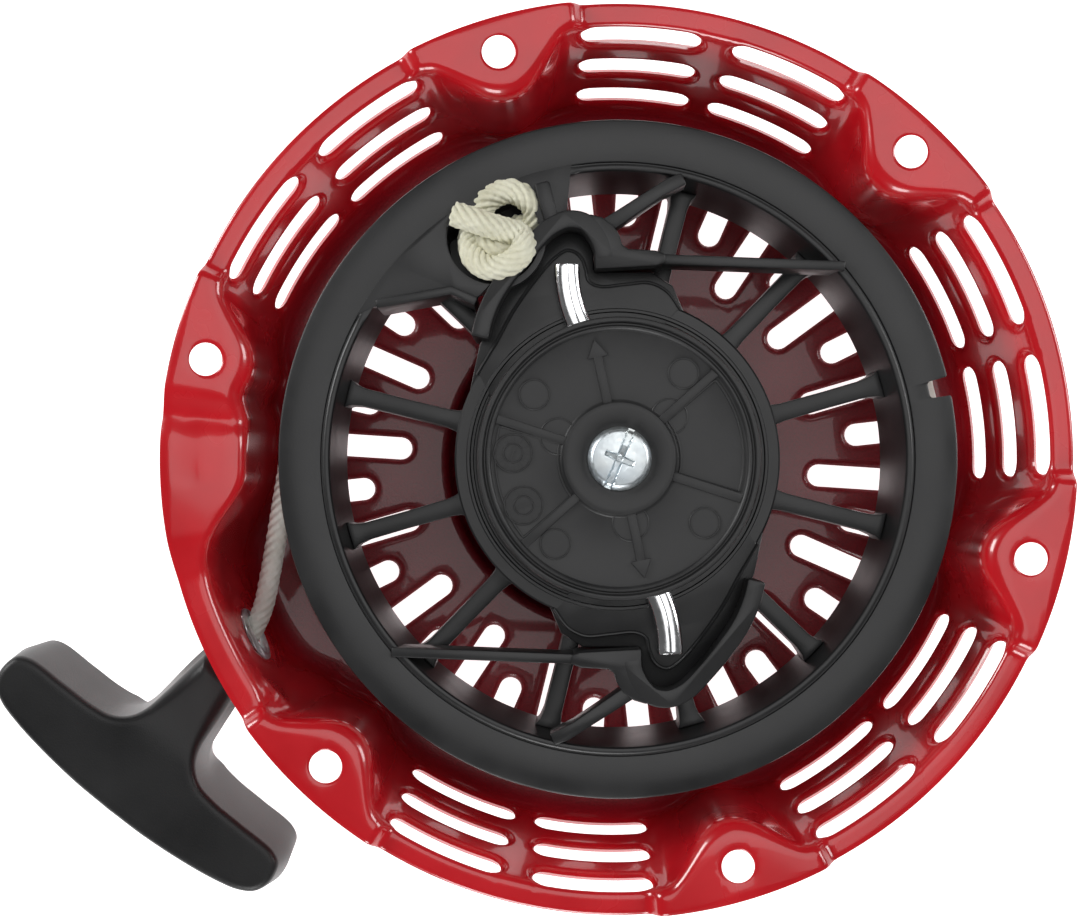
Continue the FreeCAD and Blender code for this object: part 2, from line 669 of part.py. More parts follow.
def recoil_spring():
    """Flat strip wound from the post to the hub wall, hooked at both ends."""
    pitch, turns = value("Sizes.spring_pitch"), int(value("Sizes.spring_turns"))
    inner, strip = value("Sizes.spring_inner"), value("Sizes.spring_strip")
    inside = spiral_side(pitch, turns, inner)
    outside = spiral_side(pitch, turns, inner + strip)
    start = Part.LineSegment(vector(inner, 0), vector(inner + strip, 0)).toShape()
    last_in = inside[-1].Vertexes[-1].Point
    last_out = outside[-1].Vertexes[-1].Point
    end = Part.LineSegment(last_in, last_out).toShape()
    outline = Part.Wire(Part.__sortEdges__(inside + [end] + outside + [start]))
    strip_solid = Part.Face(outline).extrude(vector(0, 0, value("Sizes.spring_width")))
    item = document.addObject("Part::Feature", "spiral")
    item.Shape = strip_solid
    low = value("Sizes.hub_bottom")
    item.Placement = FreeCAD.Placement(vector(0, 0, low), FreeCAD.Rotation())
    node(item, "recoil_spring")


# --- Reel -------------------------------------------------------------------


def reel_hub(body):
    deck_under = "(Sizes.deck_top - Sizes.deck_thickness)"
    inner = "Sizes.hub_radius - Sizes.hub_wall"
    bore = "Sizes.post_radius + Sizes.running_gap"
    boss_low = "-(Sizes.cup_depth - Sizes.post_foot_height - Sizes.body_gap)"
    corners = (
        (bore, boss_low),
        ("Sizes.boss_radius", boss_low),
        ("Sizes.boss_radius", deck_under),
        (inner, deck_under),
        (inner, "Sizes.hub_bottom"),
        ("Sizes.hub_radius", "Sizes.hub_bottom"),
        ("Sizes.hub_radius", "Sizes.deck_top"),
        (bore, "Sizes.deck_top"),
    )
    section = polygon(sketch_on(body, "hub_section", "XZ_Plane"), corners)
    feature(body, "Revolution", "hub", section)


def reel_spokes(body):
    sketch = sketch_on(body, "spoke_outline", "XY_Plane", "Sizes.spoke_top", "Sizes.spoke_angle")
    half = "Sizes.spoke_width / 2"
    near, far = "Sizes.hub_radius - 1", "Sizes.rim_inner_bottom + 1"
    polygon(sketch, ((near, f"-{half}"), (far, f"-{half}"), (far, half), (near, half)))
    spoke = feature(body, "Pad", "spoke", sketch, Length="Sizes.spoke_height", Reversed=True)
    polar(body, "spokes", spoke, 12)


def reel_rim(body):
    upper = "Sizes.reel_top - Sizes.flange_width"
    lower = "Sizes.reel_bottom + Sizes.flange_width"
    corners = (
        ("Sizes.rim_inner_bottom", "Sizes.reel_bottom"),
        ("Sizes.reel_radius", "Sizes.reel_bottom"),
        ("Sizes.reel_radius", lower),
        ("Sizes.groove_radius", lower),
        ("Sizes.groove_radius", upper),
        ("Sizes.reel_radius", upper),
        ("Sizes.reel_radius", "Sizes.reel_top"),
        ("Sizes.rim_inner_top", "Sizes.reel_top"),
    )
    section = polygon(sketch_on(body, "rim_section", "XZ_Plane"), corners)
    feature(body, "Revolution", "rim", section)


def guard_wall():
    """Curved guard that goes round the tip of one ratchet and back towards the hub."""
    foot, shoulder = vector(-34.1, 34.3), vector(-25.1, 52.8)
    crown, bend, heel = vector(-12.7, 61.5), vector(-5.8, 59.8), vector(-3.4, 52.0)
    edges = (Part.Arc(foot, shoulder, crown), Part.Arc(crown, bend, heel))
    return ribbon("guard_wall", edges, "Sizes.guard_width", "Sizes.spoke_top", "-Sizes.spoke_top")


def reel_fences():
    """Stop block after the guard, straight fence along a chord and the slanted rib above it."""
    return [
        straight_wall("stop_block", vector(-6, 51.2), vector(10.3, 51.2), "Sizes.guard_width"),
        straight_wall("fence", vector(9.2, 51.4), vector(56, 49.6), "Sizes.fence_width"),
        straight_wall("slant_rib", vector(-3.2, 61.8), vector(14, 71.5), "Sizes.fence_width"),
    ]


def straight_wall(name, start, end, width):
    """Upright wall between two points, from the spokes up to the guard's top."""
    across = vector(start.y - end.y, end.x - start.x).normalize() * value(width) / 2
    corners = [start + across, start - across, end - across, end + across]
    outline = [(corner.x, corner.y) for corner in corners]
    return flat_plate(name, outline, "Sizes.spoke_top", "-Sizes.spoke_top")


def flat_plate(name, corners, bottom, height):
    """Plate with a hand-drawn outline in the XY plane."""
    outline = document.addObject("Sketcher::SketchObject", f"{name}_outline")
    following = corners[1:] + corners[:1]
    for start, end in zip(corners, following):
        outline.addGeometry(Part.LineSegment(vector(*start), vector(*end)))
    count = len(corners)
    for index in range(count):
        after = (index + 1) % count
        outline.addConstraint(Sketcher.Constraint("Coincident", index, 2, after, 1))
    plate = document.addObject("Part::Extrusion", name)
    plate.Base = outline
    plate.DirMode = "Custom"
    plate.Dir = vector(0, 0, 1)
    plate.Solid = True
    plate.setExpression("LengthFwd", height)
    bind(plate, Placement__Base__z=bottom)
    return plate


def reel_plates():
    """Deck under a ratchet tip, and the plate of the rim beside the knot."""
    deck_low = "Sizes.deck_top - Sizes.deck_thickness"
    deck = flat_plate(
        "tip_deck",
        [(-30, 28), (-34, 35), (-25, 52), (-13, 61), (-5, 58), (-3, 51), (10, 51), (10, 38)],
        deck_low,
        "Sizes.deck_thickness",
    )
    knot_low = "Sizes.reel_top - Sizes.flange_width"
    knot = flat_plate(
        "knot_plate",
        [(-34.5, 36), (-41, 43), (-61, 39.5), (-66, 42), (-46, 64), (-13, 77), (-11, 62), (-25, 54)],
        knot_low,
        "Sizes.flange_width",
    )
    return deck, knot


def reel():
    body = new_body("reel_body")
    reel_hub(body)
    reel_spokes(body)
    reel_rim(body)
    guard = guard_wall()
    deck, knot = reel_plates()
    paired = [guard, deck] + reel_fences()
    opposite = [half_turn(item) for item in paired]
    solid = fuse("reel_solid", [body, knot] + paired + opposite)
    lean = "Sizes.notch_angle * 1 deg"
    notch = box(
        "rope_notch",
        "Sizes.notch_depth + 5",
        "Sizes.notch_width",
        "8",
        z="Sizes.reel_top - 5",
        turn="Sizes.notch_angle",
    )
    start = "(Sizes.reel_radius - Sizes.notch_depth)"
    bind(
        notch,
        Placement__Base__x=f"{start} * cos({lean}) + Sizes.notch_width / 2 * sin({lean})",
        Placement__Base__y=f"{start} * sin({lean}) - Sizes.notch_width / 2 * cos({lean})",
    )
    pocket = cylinder("knot_pocket", "Sizes.knot_radius", "30", x="Sizes.knot_x", y="Sizes.knot_y")
    bind(pocket, Placement__Base__z="Sizes.deck_top - 8")
    holes = [
        cylinder(
            f"pivot_hole_{index}",
            "Sizes.pin_radius + Sizes.running_gap",
            "10",
            x=f"{sign} * Sizes.pivot_x",
            y=f"{sign} * Sizes.pivot_y",
            z="Sizes.deck_top - 8",
        )
        for index, sign in enumerate((1, -1))
    ]
    tools = fuse("reel_cutters", [notch, pocket] + holes)
    node(cut("reel_finished", solid, tools), "reel")


# --- Ratchets and guide -----------------------------------------------------


def ratchet(name, turned):
    """Bent steel lever: tip outwards, pivot pin down into the deck, stub up into the guide."""
    edges = (
        Part.Arc(vector(-13.4, 49.4), vector(-12.3, 41), vector(-9.3, 33.2)),
        Part.Arc(vector(-9.3, 33.2), vector(-5, 27.6), vector(1.5, 24.6)),
        Part.LineSegment(vector(1.5, 24.6), vector(14, 22)),
    )
    low = "Sizes.ratchet_bottom"
    lever = ribbon(f"{name}_lever", edges, "Sizes.ratchet_width", low, "Sizes.ratchet_height")
    pin = cylinder(
        f"{name}_pin",
        "Sizes.pin_radius",
        "Sizes.pin_length",
        x="Sizes.pivot_x",
        y="Sizes.pivot_y",
        z=f"{low} - Sizes.pin_length",
    )
    stub = cylinder(
        f"{name}_stub",
        "Sizes.stub_radius",
        "Sizes.stub_height",
        x="Sizes.stub_x",
        y="Sizes.stub_y",
        z=f"{low} + Sizes.ratchet_height",
    )
    beyond_tip = box(
        f"{name}_tip_cut", "12", "6", "Sizes.ratchet_height", x="-20", y="Sizes.ratchet_tip", z=low
    )
    whole = cut(f"{name}_whole", fuse(f"{name}_pieces", [lever, pin, stub]), beyond_tip)
    if turned:
        whole.Placement = FreeCAD.Placement(vector(0, 0), FreeCAD.Rotation(vector(0, 0, 1), 180))
    node(whole, name)


def ratchet_spring(name, sign):
    """Three turns of wire round the ratchet pin under the deck."""
    top = "Sizes.deck_top - Sizes.deck_thickness"
    turns = [
        ring(
            f"{name}_turn_{index}",
            "Sizes.pin_radius + 2 * Sizes.wire",
            "Sizes.wire",
            x=f"{sign} * Sizes.pivot_x",
            y=f"{sign} * Sizes.pivot_y",
            z=f"{top} - Sizes.body_gap - Sizes.wire * {1 + 1.8 * index}",
        )
        for index in range(3)
    ]
    node(fuse(f"{name}_coil", turns), name)


def turned(point, centre, degrees):
    """A point turned about a centre in the XY plane."""
    lean = math.radians(degrees)
    across, up = point[0] - centre[0], point[1] - centre[1]
    x = centre[0] + across * math.cos(lean) - up * math.sin(lean)
    y = centre[1] + across * math.sin(lean) + up * math.cos(lean)
    return x, y


def stub_in_guide(share):
    """Place of the ratchet stub as the guide sees it, part of the way through its turn."""
    pivot = (value("Sizes.pivot_x"), value("Sizes.pivot_y"))
    stub = (value("Sizes.stub_x"), value("Sizes.stub_y"))
    swung = turned(stub, pivot, -share * value("Sizes.ratchet_swing"))
    return vector(*turned(swung, (0, 0), share * value("Sizes.guide_turn")))


def cam_grooves():
    """Blind grooves in the guide that push the stubs outwards as the guide lags."""
    path = (Part.Arc(stub_in_guide(-0.04), stub_in_guide(0.5), stub_in_guide(1.04)),)
    width = "(2 * Sizes.stub_radius + 0.8)"
    groove = ribbon("cam_groove", path, width, "Sizes.guide_bottom - 1", "2.3")
    return [groove, half_turn(groove)]


def ratchet_guide():
    body = new_body("guide_body")
    bore = "Sizes.post_spigot + Sizes.running_gap"
    collar_low = "Sizes.post_shoulder + Sizes.body_gap"
    corners = (
        (bore, collar_low),
        ("Sizes.collar_radius", collar_low),
        ("Sizes.collar_radius", "Sizes.guide_bottom"),
        ("Sizes.guide_radius", "Sizes.guide_bottom"),
        ("Sizes.guide_radius", "Sizes.guide_ring_top"),
        ("Sizes.guide_ring", "Sizes.guide_ring_top"),
        ("Sizes.guide_ring", "Sizes.guide_top"),
        ("Sizes.collar_radius", "Sizes.guide_top"),
        ("Sizes.collar_radius", "Sizes.collar_top"),
        (bore, "Sizes.collar_top"),
    )
    section = polygon(sketch_on(body, "guide_section", "XZ_Plane"), corners)
    feature(body, "Revolution", "guide_disc", section)
    sketch = sketch_on(body, "guide_rib_outline", "XY_Plane", "Sizes.guide_top", "42")
    near, far = "Sizes.collar_radius - 1", "Sizes.guide_ring + 1"
    polygon(sketch, ((near, "-0.8"), (far, "-0.8"), (far, "0.8"), (near, "0.8")))
    rib = feature(body, "Pad", "guide_rib", sketch, Length="Sizes.guide_ring_top - Sizes.guide_top")
    polar(body, "guide_ribs", rib, 6)
    node(cut("guide_finished", body, fuse("cam_cutters", cam_grooves())), "ratchet_guide")


# --- Rope -------------------------------------------------------------------


def rope_winding():
    """Outer shape of the turns wound on the reel: a full layer and most of a second."""
    bottom = "Sizes.reel_bottom + Sizes.flange_width"
    height = "Sizes.reel_top - Sizes.reel_bottom - 2 * Sizes.flange_width"
    first = "Sizes.groove_radius + 2 * Sizes.rope_radius"
    second_low = "-17.5"
    lower = cylinder("winding_lower", first, height, z=bottom)
    upper = cylinder(
        "winding_upper",
        f"{first} + 1.73 * Sizes.rope_radius",
        "2 * Sizes.rope_radius",
        z=second_low,
        turn="-170",
    )
    upper.Angle = 330
    core = cylinder("winding_core", "Sizes.groove_radius", "40", z="Sizes.reel_bottom - 5")
    node(cut("winding", fuse("winding_layers", [lower, upper]), core), "rope_winding")


def smooth_tube(name, route, radius):
    """Round tube along straight runs joined by tangent arcs as large as the runs allow."""
    edges = []
    at = route[0]
    for before, corner, after in zip(route, route[1:], route[2:]):
        inward = (before - corner).normalize()
        outward = (after - corner).normalize()
        turn = math.pi - inward.getAngle(outward)
        reach = 0.45 * min((before - corner).Length, (after - corner).Length)
        bend = reach / math.tan(turn / 2)
        print(f"{name}: bend radius {bend:.1f}")
        start, end = corner + inward * reach, corner + outward * reach
        inside = (inward + outward).normalize()
        middle = corner + inside * (math.hypot(bend, reach) - bend)
        edges.append(Part.LineSegment(at, start).toShape())
        edges.append(Part.Arc(start, middle, end).toShape())
        at = end
    edges.append(Part.LineSegment(at, route[-1]).toShape())
    path = Part.Wire(edges)
    section = Part.Wire(Part.Circle(route[0], route[1] - route[0], radius).toShape())
    tube = path.makePipeShell([section], True, False)
    drift = tube.Volume / (math.pi * radius**2 * path.Length)
    print(f"{name}: length {path.Length:.1f}, volume ratio {drift:.4f}")
    return tube


def exit_point(distance):
    """Point on the line of pull, at a distance outside the rope exit."""
    lean = math.radians(value("Sizes.pull_angle"))
    x = value(EXIT_X) + distance * math.cos(lean)
    y = value(EXIT_Y) + distance * math.sin(lean)
    return vector(x, y, value("Sizes.rope_exit_z"))


def mouth_distance():
    """Distance from the rope exit to the mouth of the grip."""
    bar = value("Sizes.grip_distance") - value("Sizes.grip_width") / 2
    return bar - value("Sizes.neck_length") + 1


def rope_lead():
    """Rope from the winding, through the eyelet, to the mouth of the grip."""
    route = [
        vector(-83.5, 18.6, -14.5),
        vector(-87.0, 0.5, -16.8),
        vector(-92.0, -25.5, -21.5),
        exit_point(-5),
        exit_point(mouth_distance() - 0.3),
    ]
    item = document.addObject("Part::Feature", "lead")
    item.Shape = smooth_tube("rope_lead", route, value("Sizes.rope_radius"))
    node(item, "rope_lead")


def rope_ends():
    """Tail of the rope inside the grip, and the knots at its two ends."""
    depth = "Sizes.grip_distance + Sizes.grip_width / 2 - Sizes.grip_pocket_depth"
    start = mouth_distance()
    tail = cylinder("tail", "Sizes.rope_radius", f"{depth} + 0.5 - {start:.3f}")
    node(through_exit(tail, f"{start:.3f}"), "rope_tail")
    knot = document.addObject("Part::Ellipsoid", "grip_knot")
    knot.Angle1 = -90
    wide = "Sizes.grip_knot_half_width"
    bind(knot, Radius1="Sizes.grip_knot_half_length", Radius2=wide, Radius3=wide)
    node(through_exit(knot, f"{depth} + Sizes.grip_knot_half_length + 0.5"), "grip_knot")
    reel_knot = document.addObject("Part::Ellipsoid", "knot_on_reel")
    reel_knot.Angle1 = -90
    wide = "Sizes.reel_knot_half_width"
    bind(reel_knot, Radius1="Sizes.reel_knot_half_height", Radius2=wide, Radius3=wide)
    node(place(reel_knot, x="Sizes.knot_x", y="Sizes.knot_y", z="Sizes.reel_knot_z"), "reel_knot")


def rope_eyelet():
    lip, outwards = "Sizes.eyelet_lip", "Sizes.rope_exit_angle"
    near, far = "-Sizes.sheet_metal / 2 - 0.5", "Sizes.sheet_metal / 2 + 0.1"
    barrel = cylinder("eyelet_barrel", "Sizes.eyelet_radius", f"{far} - ({near}) + 2 * {lip}")
    through_exit(barrel, f"{near} - {lip}", outwards)
    outer = cylinder("eyelet_outer", "Sizes.eyelet_flange", lip)
    through_exit(outer, far, outwards)
    inner = cylinder("eyelet_inner", "Sizes.eyelet_flange", lip)
    through_exit(inner, f"{near} - {lip}", outwards)
    bore = cylinder("eyelet_hole", "Sizes.eyelet_bore", "20")
    through_exit(bore, "-10", outwards)
    node(cut("eyelet", fuse("eyelet_body", [barrel, outer, inner]), bore), "rope_eyelet")


# --- Grip -------------------------------------------------------------------


def starter_grip():
    """T-shaped grip: a rounded bar across the pull and a tapered neck."""
    bar = document.addObject("Part::Box", "grip_bar")
    bind(bar, Length="Sizes.grip_width", Width="Sizes.grip_length", Height="Sizes.grip_height")
    bar.Placement = FreeCAD.Placement(
        vector(0, 0), FreeCAD.Rotation(vector(0, 0, 1), value("Sizes.pull_angle"))
    )
    lean = "Sizes.pull_angle * 1 deg"
    near = "(Sizes.grip_distance - Sizes.grip_width / 2)"
    side = "Sizes.grip_length / 2"
    bind(
        bar,
        Placement__Base__x=f"{EXIT_X} + {near} * cos({lean}) + {side} * sin({lean})",
        Placement__Base__y=f"{EXIT_Y} + {near} * sin({lean}) - {side} * cos({lean})",
        Placement__Base__z="Sizes.rope_exit_z - Sizes.grip_height / 2",
    )
    crown = document.addObject("Part::Cylinder", "grip_crown")
    centre = "(Sizes.grip_distance + Sizes.grip_width / 2 - Sizes.grip_crown)"
    bind(
        crown,
        Radius="Sizes.grip_crown",
        Height="Sizes.grip_height",
        Placement__Base__x=f"{EXIT_X} + {centre} * cos({lean})",
        Placement__Base__y=f"{EXIT_Y} + {centre} * sin({lean})",
        Placement__Base__z="Sizes.rope_exit_z - Sizes.grip_height / 2",
    )
    crowned = document.addObject("Part::Common", "grip_bar_crowned")
    crowned.Base, crowned.Tool = bar, crown
    document.recompute()
    smooth = document.addObject("Part::Fillet", "grip_bar_smooth")
    smooth.Base = crowned
    rounding = value("Sizes.grip_rounding")
    smooth.Edges = [(index, rounding, rounding) for index in range(1, len(crowned.Shape.Edges) + 1)]
    neck = document.addObject("Part::Cone", "grip_neck")
    bind(
        neck,
        Radius1="Sizes.neck_narrow",
        Radius2="Sizes.neck_wide",
        Height="Sizes.neck_length + 2",
    )
    through_exit(neck, f"{near} - Sizes.neck_length")
    bore = cylinder("grip_bore", "Sizes.grip_bore", "80")
    through_exit(bore, f"{near} - Sizes.neck_length - 5")
    pocket = cylinder("grip_pocket", "Sizes.grip_pocket", "Sizes.grip_pocket_depth + 5")
    floor = "Sizes.grip_distance + Sizes.grip_width / 2 - Sizes.grip_pocket_depth"
    through_exit(pocket, f"{floor} - Sizes.insert_thickness")
    solid = fuse("grip_solid", [smooth, neck])
    node(cut("grip", solid, fuse("grip_cutters", [bore, pocket])), "starter_grip")


def grip_insert():
    floor = "Sizes.grip_distance + Sizes.grip_width / 2 - Sizes.grip_pocket_depth"
    low = f"{floor} - Sizes.insert_thickness"
    disc = cylinder("insert_disc", "Sizes.grip_pocket - 0.1", "Sizes.insert_thickness")
    through_exit(disc, low)
    bore = cylinder("insert_bore", "Sizes.grip_bore", "10")
    through_exit(bore, f"{low} - 3")
    node(cut("insert", disc, bore), "grip_insert")


def check_and_write():
    document.recompute()
    for item in document.Objects:
        if any(state in ("Invalid", "Error") for state in item.State):
            raise RuntimeError(f"{item.Name} did not build: {item.State}")
    os.makedirs("parts", exist_ok=True)
    for item in NODES:
        shape = item.Shape
        if shape.isNull() or not shape.isValid() or not shape.Solids:
            raise RuntimeError(f"{item.Label} has no valid solid")
        shape.exportStep(f"parts/{item.Label}.step")
        print(f"{item.Label}: {len(shape.Solids)} solid, {shape.Volume / 1000:.2f} cm3")


fill_sheet()
starter_case()
centre_post()
setting_screw()
reel_washer()
friction_spring()
recoil_spring()
reel()
ratchet("ratchet_top", False)
ratchet("ratchet_bottom", True)
ratchet_spring("ratchet_spring_top", 1)
ratchet_spring("ratchet_spring_bottom", -1)
ratchet_guide()
rope_winding()
rope_lead()
rope_ends()
rope_eyelet()
starter_grip()
grip_insert()
check_and_write()
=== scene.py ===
import math

import bmesh
import bpy
from mathutils import Matrix, Vector
from mathutils.geometry import delaunay_2d_cdt


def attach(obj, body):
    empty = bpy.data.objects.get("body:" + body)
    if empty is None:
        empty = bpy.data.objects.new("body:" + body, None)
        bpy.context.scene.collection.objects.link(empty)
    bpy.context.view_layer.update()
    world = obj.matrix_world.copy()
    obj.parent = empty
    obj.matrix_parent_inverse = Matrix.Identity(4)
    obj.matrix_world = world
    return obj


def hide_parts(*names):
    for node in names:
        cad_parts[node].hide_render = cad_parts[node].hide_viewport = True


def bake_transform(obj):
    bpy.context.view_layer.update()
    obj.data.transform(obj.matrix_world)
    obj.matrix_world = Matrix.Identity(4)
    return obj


# Recoil starter seen from its open side. Lengths are millimetres until they reach Blender.
# The origin is the centre of the bolt circle on the mounting face, and +Z looks out of the dome.

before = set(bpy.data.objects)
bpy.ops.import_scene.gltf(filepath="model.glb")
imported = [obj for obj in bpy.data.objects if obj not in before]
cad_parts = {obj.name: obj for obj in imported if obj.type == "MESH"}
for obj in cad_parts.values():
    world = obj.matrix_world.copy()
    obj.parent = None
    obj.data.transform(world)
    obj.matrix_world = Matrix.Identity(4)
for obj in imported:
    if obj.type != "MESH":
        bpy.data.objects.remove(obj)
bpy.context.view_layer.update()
MM = 0.001

# --- Driving sizes -----------------------------------------------------------

SHEET = 1.6
RIM_RADIUS = 118.0
RIM_DROP = 3.5
WALL_RADIUS = 112.0
FLOOR_RADIUS = 100.0
FLOOR = -48.0
CUP_RADIUS = 46.0
CUP_FLOOR = -56.0
BOLT_CIRCLE = 109.0
BOLT_HOLE = 4.25
PADS = [46.4 + 60 * step for step in range(6)]
REEL_RADIUS = 87.7
REEL_TOP = -2.0
REEL_BOTTOM = -26.0
GUARD_LOW = -14.0
DECK = -5.0
KNOT_AT = Vector((-32.1, 57.4, -3.0))
EXIT_ANGLE = 205.9
EXIT_RADIUS = 110.3
EXIT_DEPTH = 24.9
EXIT_HOLE = 5.8
PULL_ANGLE = 231.5
OUTWARD = Vector((math.cos(math.radians(EXIT_ANGLE)), math.sin(math.radians(EXIT_ANGLE)), 0.0))
PULL = Vector((math.cos(math.radians(PULL_ANGLE)), math.sin(math.radians(PULL_ANGLE)), 0.0))
EXIT = Vector((
    EXIT_RADIUS * math.cos(math.radians(EXIT_ANGLE)), EXIT_RADIUS * math.sin(math.radians(EXIT_ANGLE)), -25.0,
))
ROPE_RADIUS = 3.0
GRIP_END = 58.5
POCKET_DEPTH = 13.0


# --- Mesh helpers ------------------------------------------------------------


def new_object(name, points, faces, material):
    """Object from points in millimetres."""
    mesh = bpy.data.meshes.new(name)
    mesh.from_pydata([(x * MM, y * MM, z * MM) for x, y, z in points], [], faces)
    mesh.validate()
    obj = bpy.data.objects.new(name, mesh)
    bpy.context.scene.collection.objects.link(obj)
    mesh.materials.append(material)
    for polygon in mesh.polygons:
        polygon.use_smooth = True
    return obj


def clean(obj, weld=0.01):
    """Weld equal points and make the normals agree."""
    work = bmesh.new()
    work.from_mesh(obj.data)
    bmesh.ops.remove_doubles(work, verts=work.verts, dist=weld * MM)
    bmesh.ops.recalc_face_normals(work, faces=work.faces)
    work.to_mesh(obj.data)
    work.free()
    return obj


def modify(obj, kind, **settings):
    modifier = obj.modifiers.new(kind.title(), kind)
    for name, value in settings.items():
        setattr(modifier, name, value)
    return modifier


def bevel(obj, width, segments=2, angle=35):
    modify(
        obj, "BEVEL", width=width * MM, segments=segments, limit_method="ANGLE",
        angle_limit=math.radians(angle), harden_normals=False, miter_outer="MITER_ARC",
    )
    return obj


def bake_modifiers(obj):
    """Turn the evaluated mesh into the object's own mesh."""
    bpy.context.view_layer.update()
    graph = bpy.context.evaluated_depsgraph_get()
    baked = bpy.data.meshes.new_from_object(obj.evaluated_get(graph))
    old = obj.data
    obj.modifiers.clear()
    obj.data = baked
    bpy.data.meshes.remove(old)
    return obj


def join(name, parts):
    """One object from several, in order."""
    work = bmesh.new()
    for part in parts:
        bake_modifiers(part)
        part.data.transform(part.matrix_world)
        work.from_mesh(part.data)
    mesh = bpy.data.meshes.new(name)
    work.to_mesh(mesh)
    work.free()
    for material in parts[0].data.materials:
        mesh.materials.append(material)
    for part in parts:
        bpy.data.objects.remove(part)
    obj = bpy.data.objects.new(name, mesh)
    bpy.context.scene.collection.objects.link(obj)
    return obj


def half_turn(obj):
    """Copy of an object on the other side of the axis."""
    other = obj.copy()
    other.data = obj.data.copy()
    bpy.context.scene.collection.objects.link(other)
    other.data.transform(Matrix.Rotation(math.pi, 4, "Z"))
    return other


def smooth_by_angle(obj, degrees=40):
    """Smooth shading with sharp edges where faces meet at more than an angle."""
    work = bmesh.new()
    work.from_mesh(obj.data)
    limit = math.radians(degrees)
    for face in work.faces:
        face.smooth = True
    for edge in work.edges:
        edge.smooth = len(edge.link_faces) == 2 and edge.calc_face_angle(0.0) < limit
    work.to_mesh(obj.data)
    work.free()
    return obj


def polar_point(radius, degrees, z=0.0):
    lean = math.radians(degrees)
    return Vector((radius * math.cos(lean), radius * math.sin(lean), z))


def ring_edges(first, count):
    """Edges that close a run of points into a ring."""
    return [(first + step, first + (step + 1) % count) for step in range(count)]


def add_rings(points, loops):
    """Add closed loops to a list of points and give their edges."""
    edges = []
    for loop in loops:
        edges += ring_edges(len(points), len(loop))
        points += loop
    return edges


def middle_of(corners, face):
    return sum((corners[index] for index in face), Vector((0, 0))) / len(face)


def turned_faces(rows, count, closed=True):
    """Faces between neighbouring rows of points that go once round the axis."""
    faces = []
    for row in range(rows):
        here, there = row * count, (row + 1) % rows * count
        for index in range(count if closed else count - 1):
            ahead = (index + 1) % count
            faces.append((here + index, there + index, there + ahead, here + ahead))
    return faces


def swept_faces(rows, count):
    """Faces between neighbouring rings of points along a line."""
    faces = []
    for row in range(rows - 1):
        here, there = row * count, (row + 1) * count
        for step in range(count):
            after = (step + 1) % count
            faces.append((here + step, here + after, there + after, there + step))
    return faces


def lathe(name, profile, material, steps=180, shape=None):
    """Turn a profile of (radius, z) round the axis. shape may change a point by its angle."""
    points = []
    angles = shape.angles if shape else [360 * step / steps for step in range(steps)]
    for angle in angles:
        for radius, z in profile:
            if shape:
                radius, z = shape(radius, z, angle)
            points.append(polar_point(radius, angle, z))
    return clean(new_object(name, points, turned_faces(len(angles), len(profile)), material))


def prism(name, outline, low, high, material, hole=None):
    """Upright solid over an outline of (x, y) points, with an optional round hole (x, y, r)."""
    outline = [Vector((x, y)) for x, y in outline]
    loops = [outline]
    if hole:
        x, y, radius = hole
        loops.append([Vector((x, y)) + polar_point(radius, 10 * step).xy for step in range(36)])
    flat = []
    edges = add_rings(flat, loops)
    corners, _, triangles, *_ = delaunay_2d_cdt(flat, edges, [], 2 if not hole else 0, 1e-5)
    kept = []
    for triangle in triangles:
        middle = middle_of(corners, triangle)
        if not inside(middle, outline):
            continue
        if hole and (middle - Vector((x, y))).length < radius:
            continue
        kept.append(triangle)
    count = len(corners)
    points = [(v.x, v.y, high) for v in corners] + [(v.x, v.y, low) for v in corners]
    faces = [tuple(face) for face in kept]
    faces += [tuple(count + index for index in reversed(face)) for face in kept]
    borders = {}
    for face in kept:
        for a, b in zip(face, list(face[1:]) + [face[0]]):
            borders[(a, b)] = True
    for a, b in list(borders):
        if (b, a) not in borders:
            faces.append((b, a, count + a, count + b))
    obj = clean(new_object(name, points, faces, material))
    work = bmesh.new()
    work.from_mesh(obj.data)
    bmesh.ops.dissolve_limit(work, angle_limit=0.01, verts=work.verts, edges=work.edges)
    work.to_mesh(obj.data)
    work.free()
    return obj


def inside(point, outline):
    """True where a point lies inside a closed outline."""
    found = False
    for a, b in zip(outline, outline[1:] + outline[:1]):
        if (a.y > point.y) != (b.y > point.y):
            if point.x < (b.x - a.x) * (point.y - a.y) / (b.y - a.y) + a.x:
                found = not found
    return found


def curve_through(points, step=1.0):
    """Evenly spaced points on a smooth curve through the given ones (Catmull-Rom, centripetal)."""
    points = [Vector(p).to_3d() for p in points]
    padded = [points[0] * 2 - points[1]] + points + [points[-1] * 2 - points[-2]]
    found = []
    for p0, p1, p2, p3 in zip(padded, padded[1:], padded[2:], padded[3:]):
        t0 = 0.0
        t1 = t0 + math.sqrt(max((p1 - p0).length, 1e-6))
        t2 = t1 + math.sqrt(max((p2 - p1).length, 1e-6))
        t3 = t2 + math.sqrt(max((p3 - p2).length, 1e-6))
        count = max(2, int((p2 - p1).length / step * 2))
        for index in range(count):
            t = t1 + (t2 - t1) * index / count
            a1 = p0 * ((t1 - t) / (t1 - t0)) + p1 * ((t - t0) / (t1 - t0))
            a2 = p1 * ((t2 - t) / (t2 - t1)) + p2 * ((t - t1) / (t2 - t1))
            a3 = p2 * ((t3 - t) / (t3 - t2)) + p3 * ((t - t2) / (t3 - t2))
            b1 = a1 * ((t2 - t) / (t2 - t0)) + a2 * ((t - t0) / (t2 - t0))
            b2 = a2 * ((t3 - t) / (t3 - t1)) + a3 * ((t - t1) / (t3 - t1))
            found.append(b1 * ((t2 - t) / (t2 - t1)) + b2 * ((t - t1) / (t2 - t1)))
    found.append(points[-1])
    return evenly(found, step)


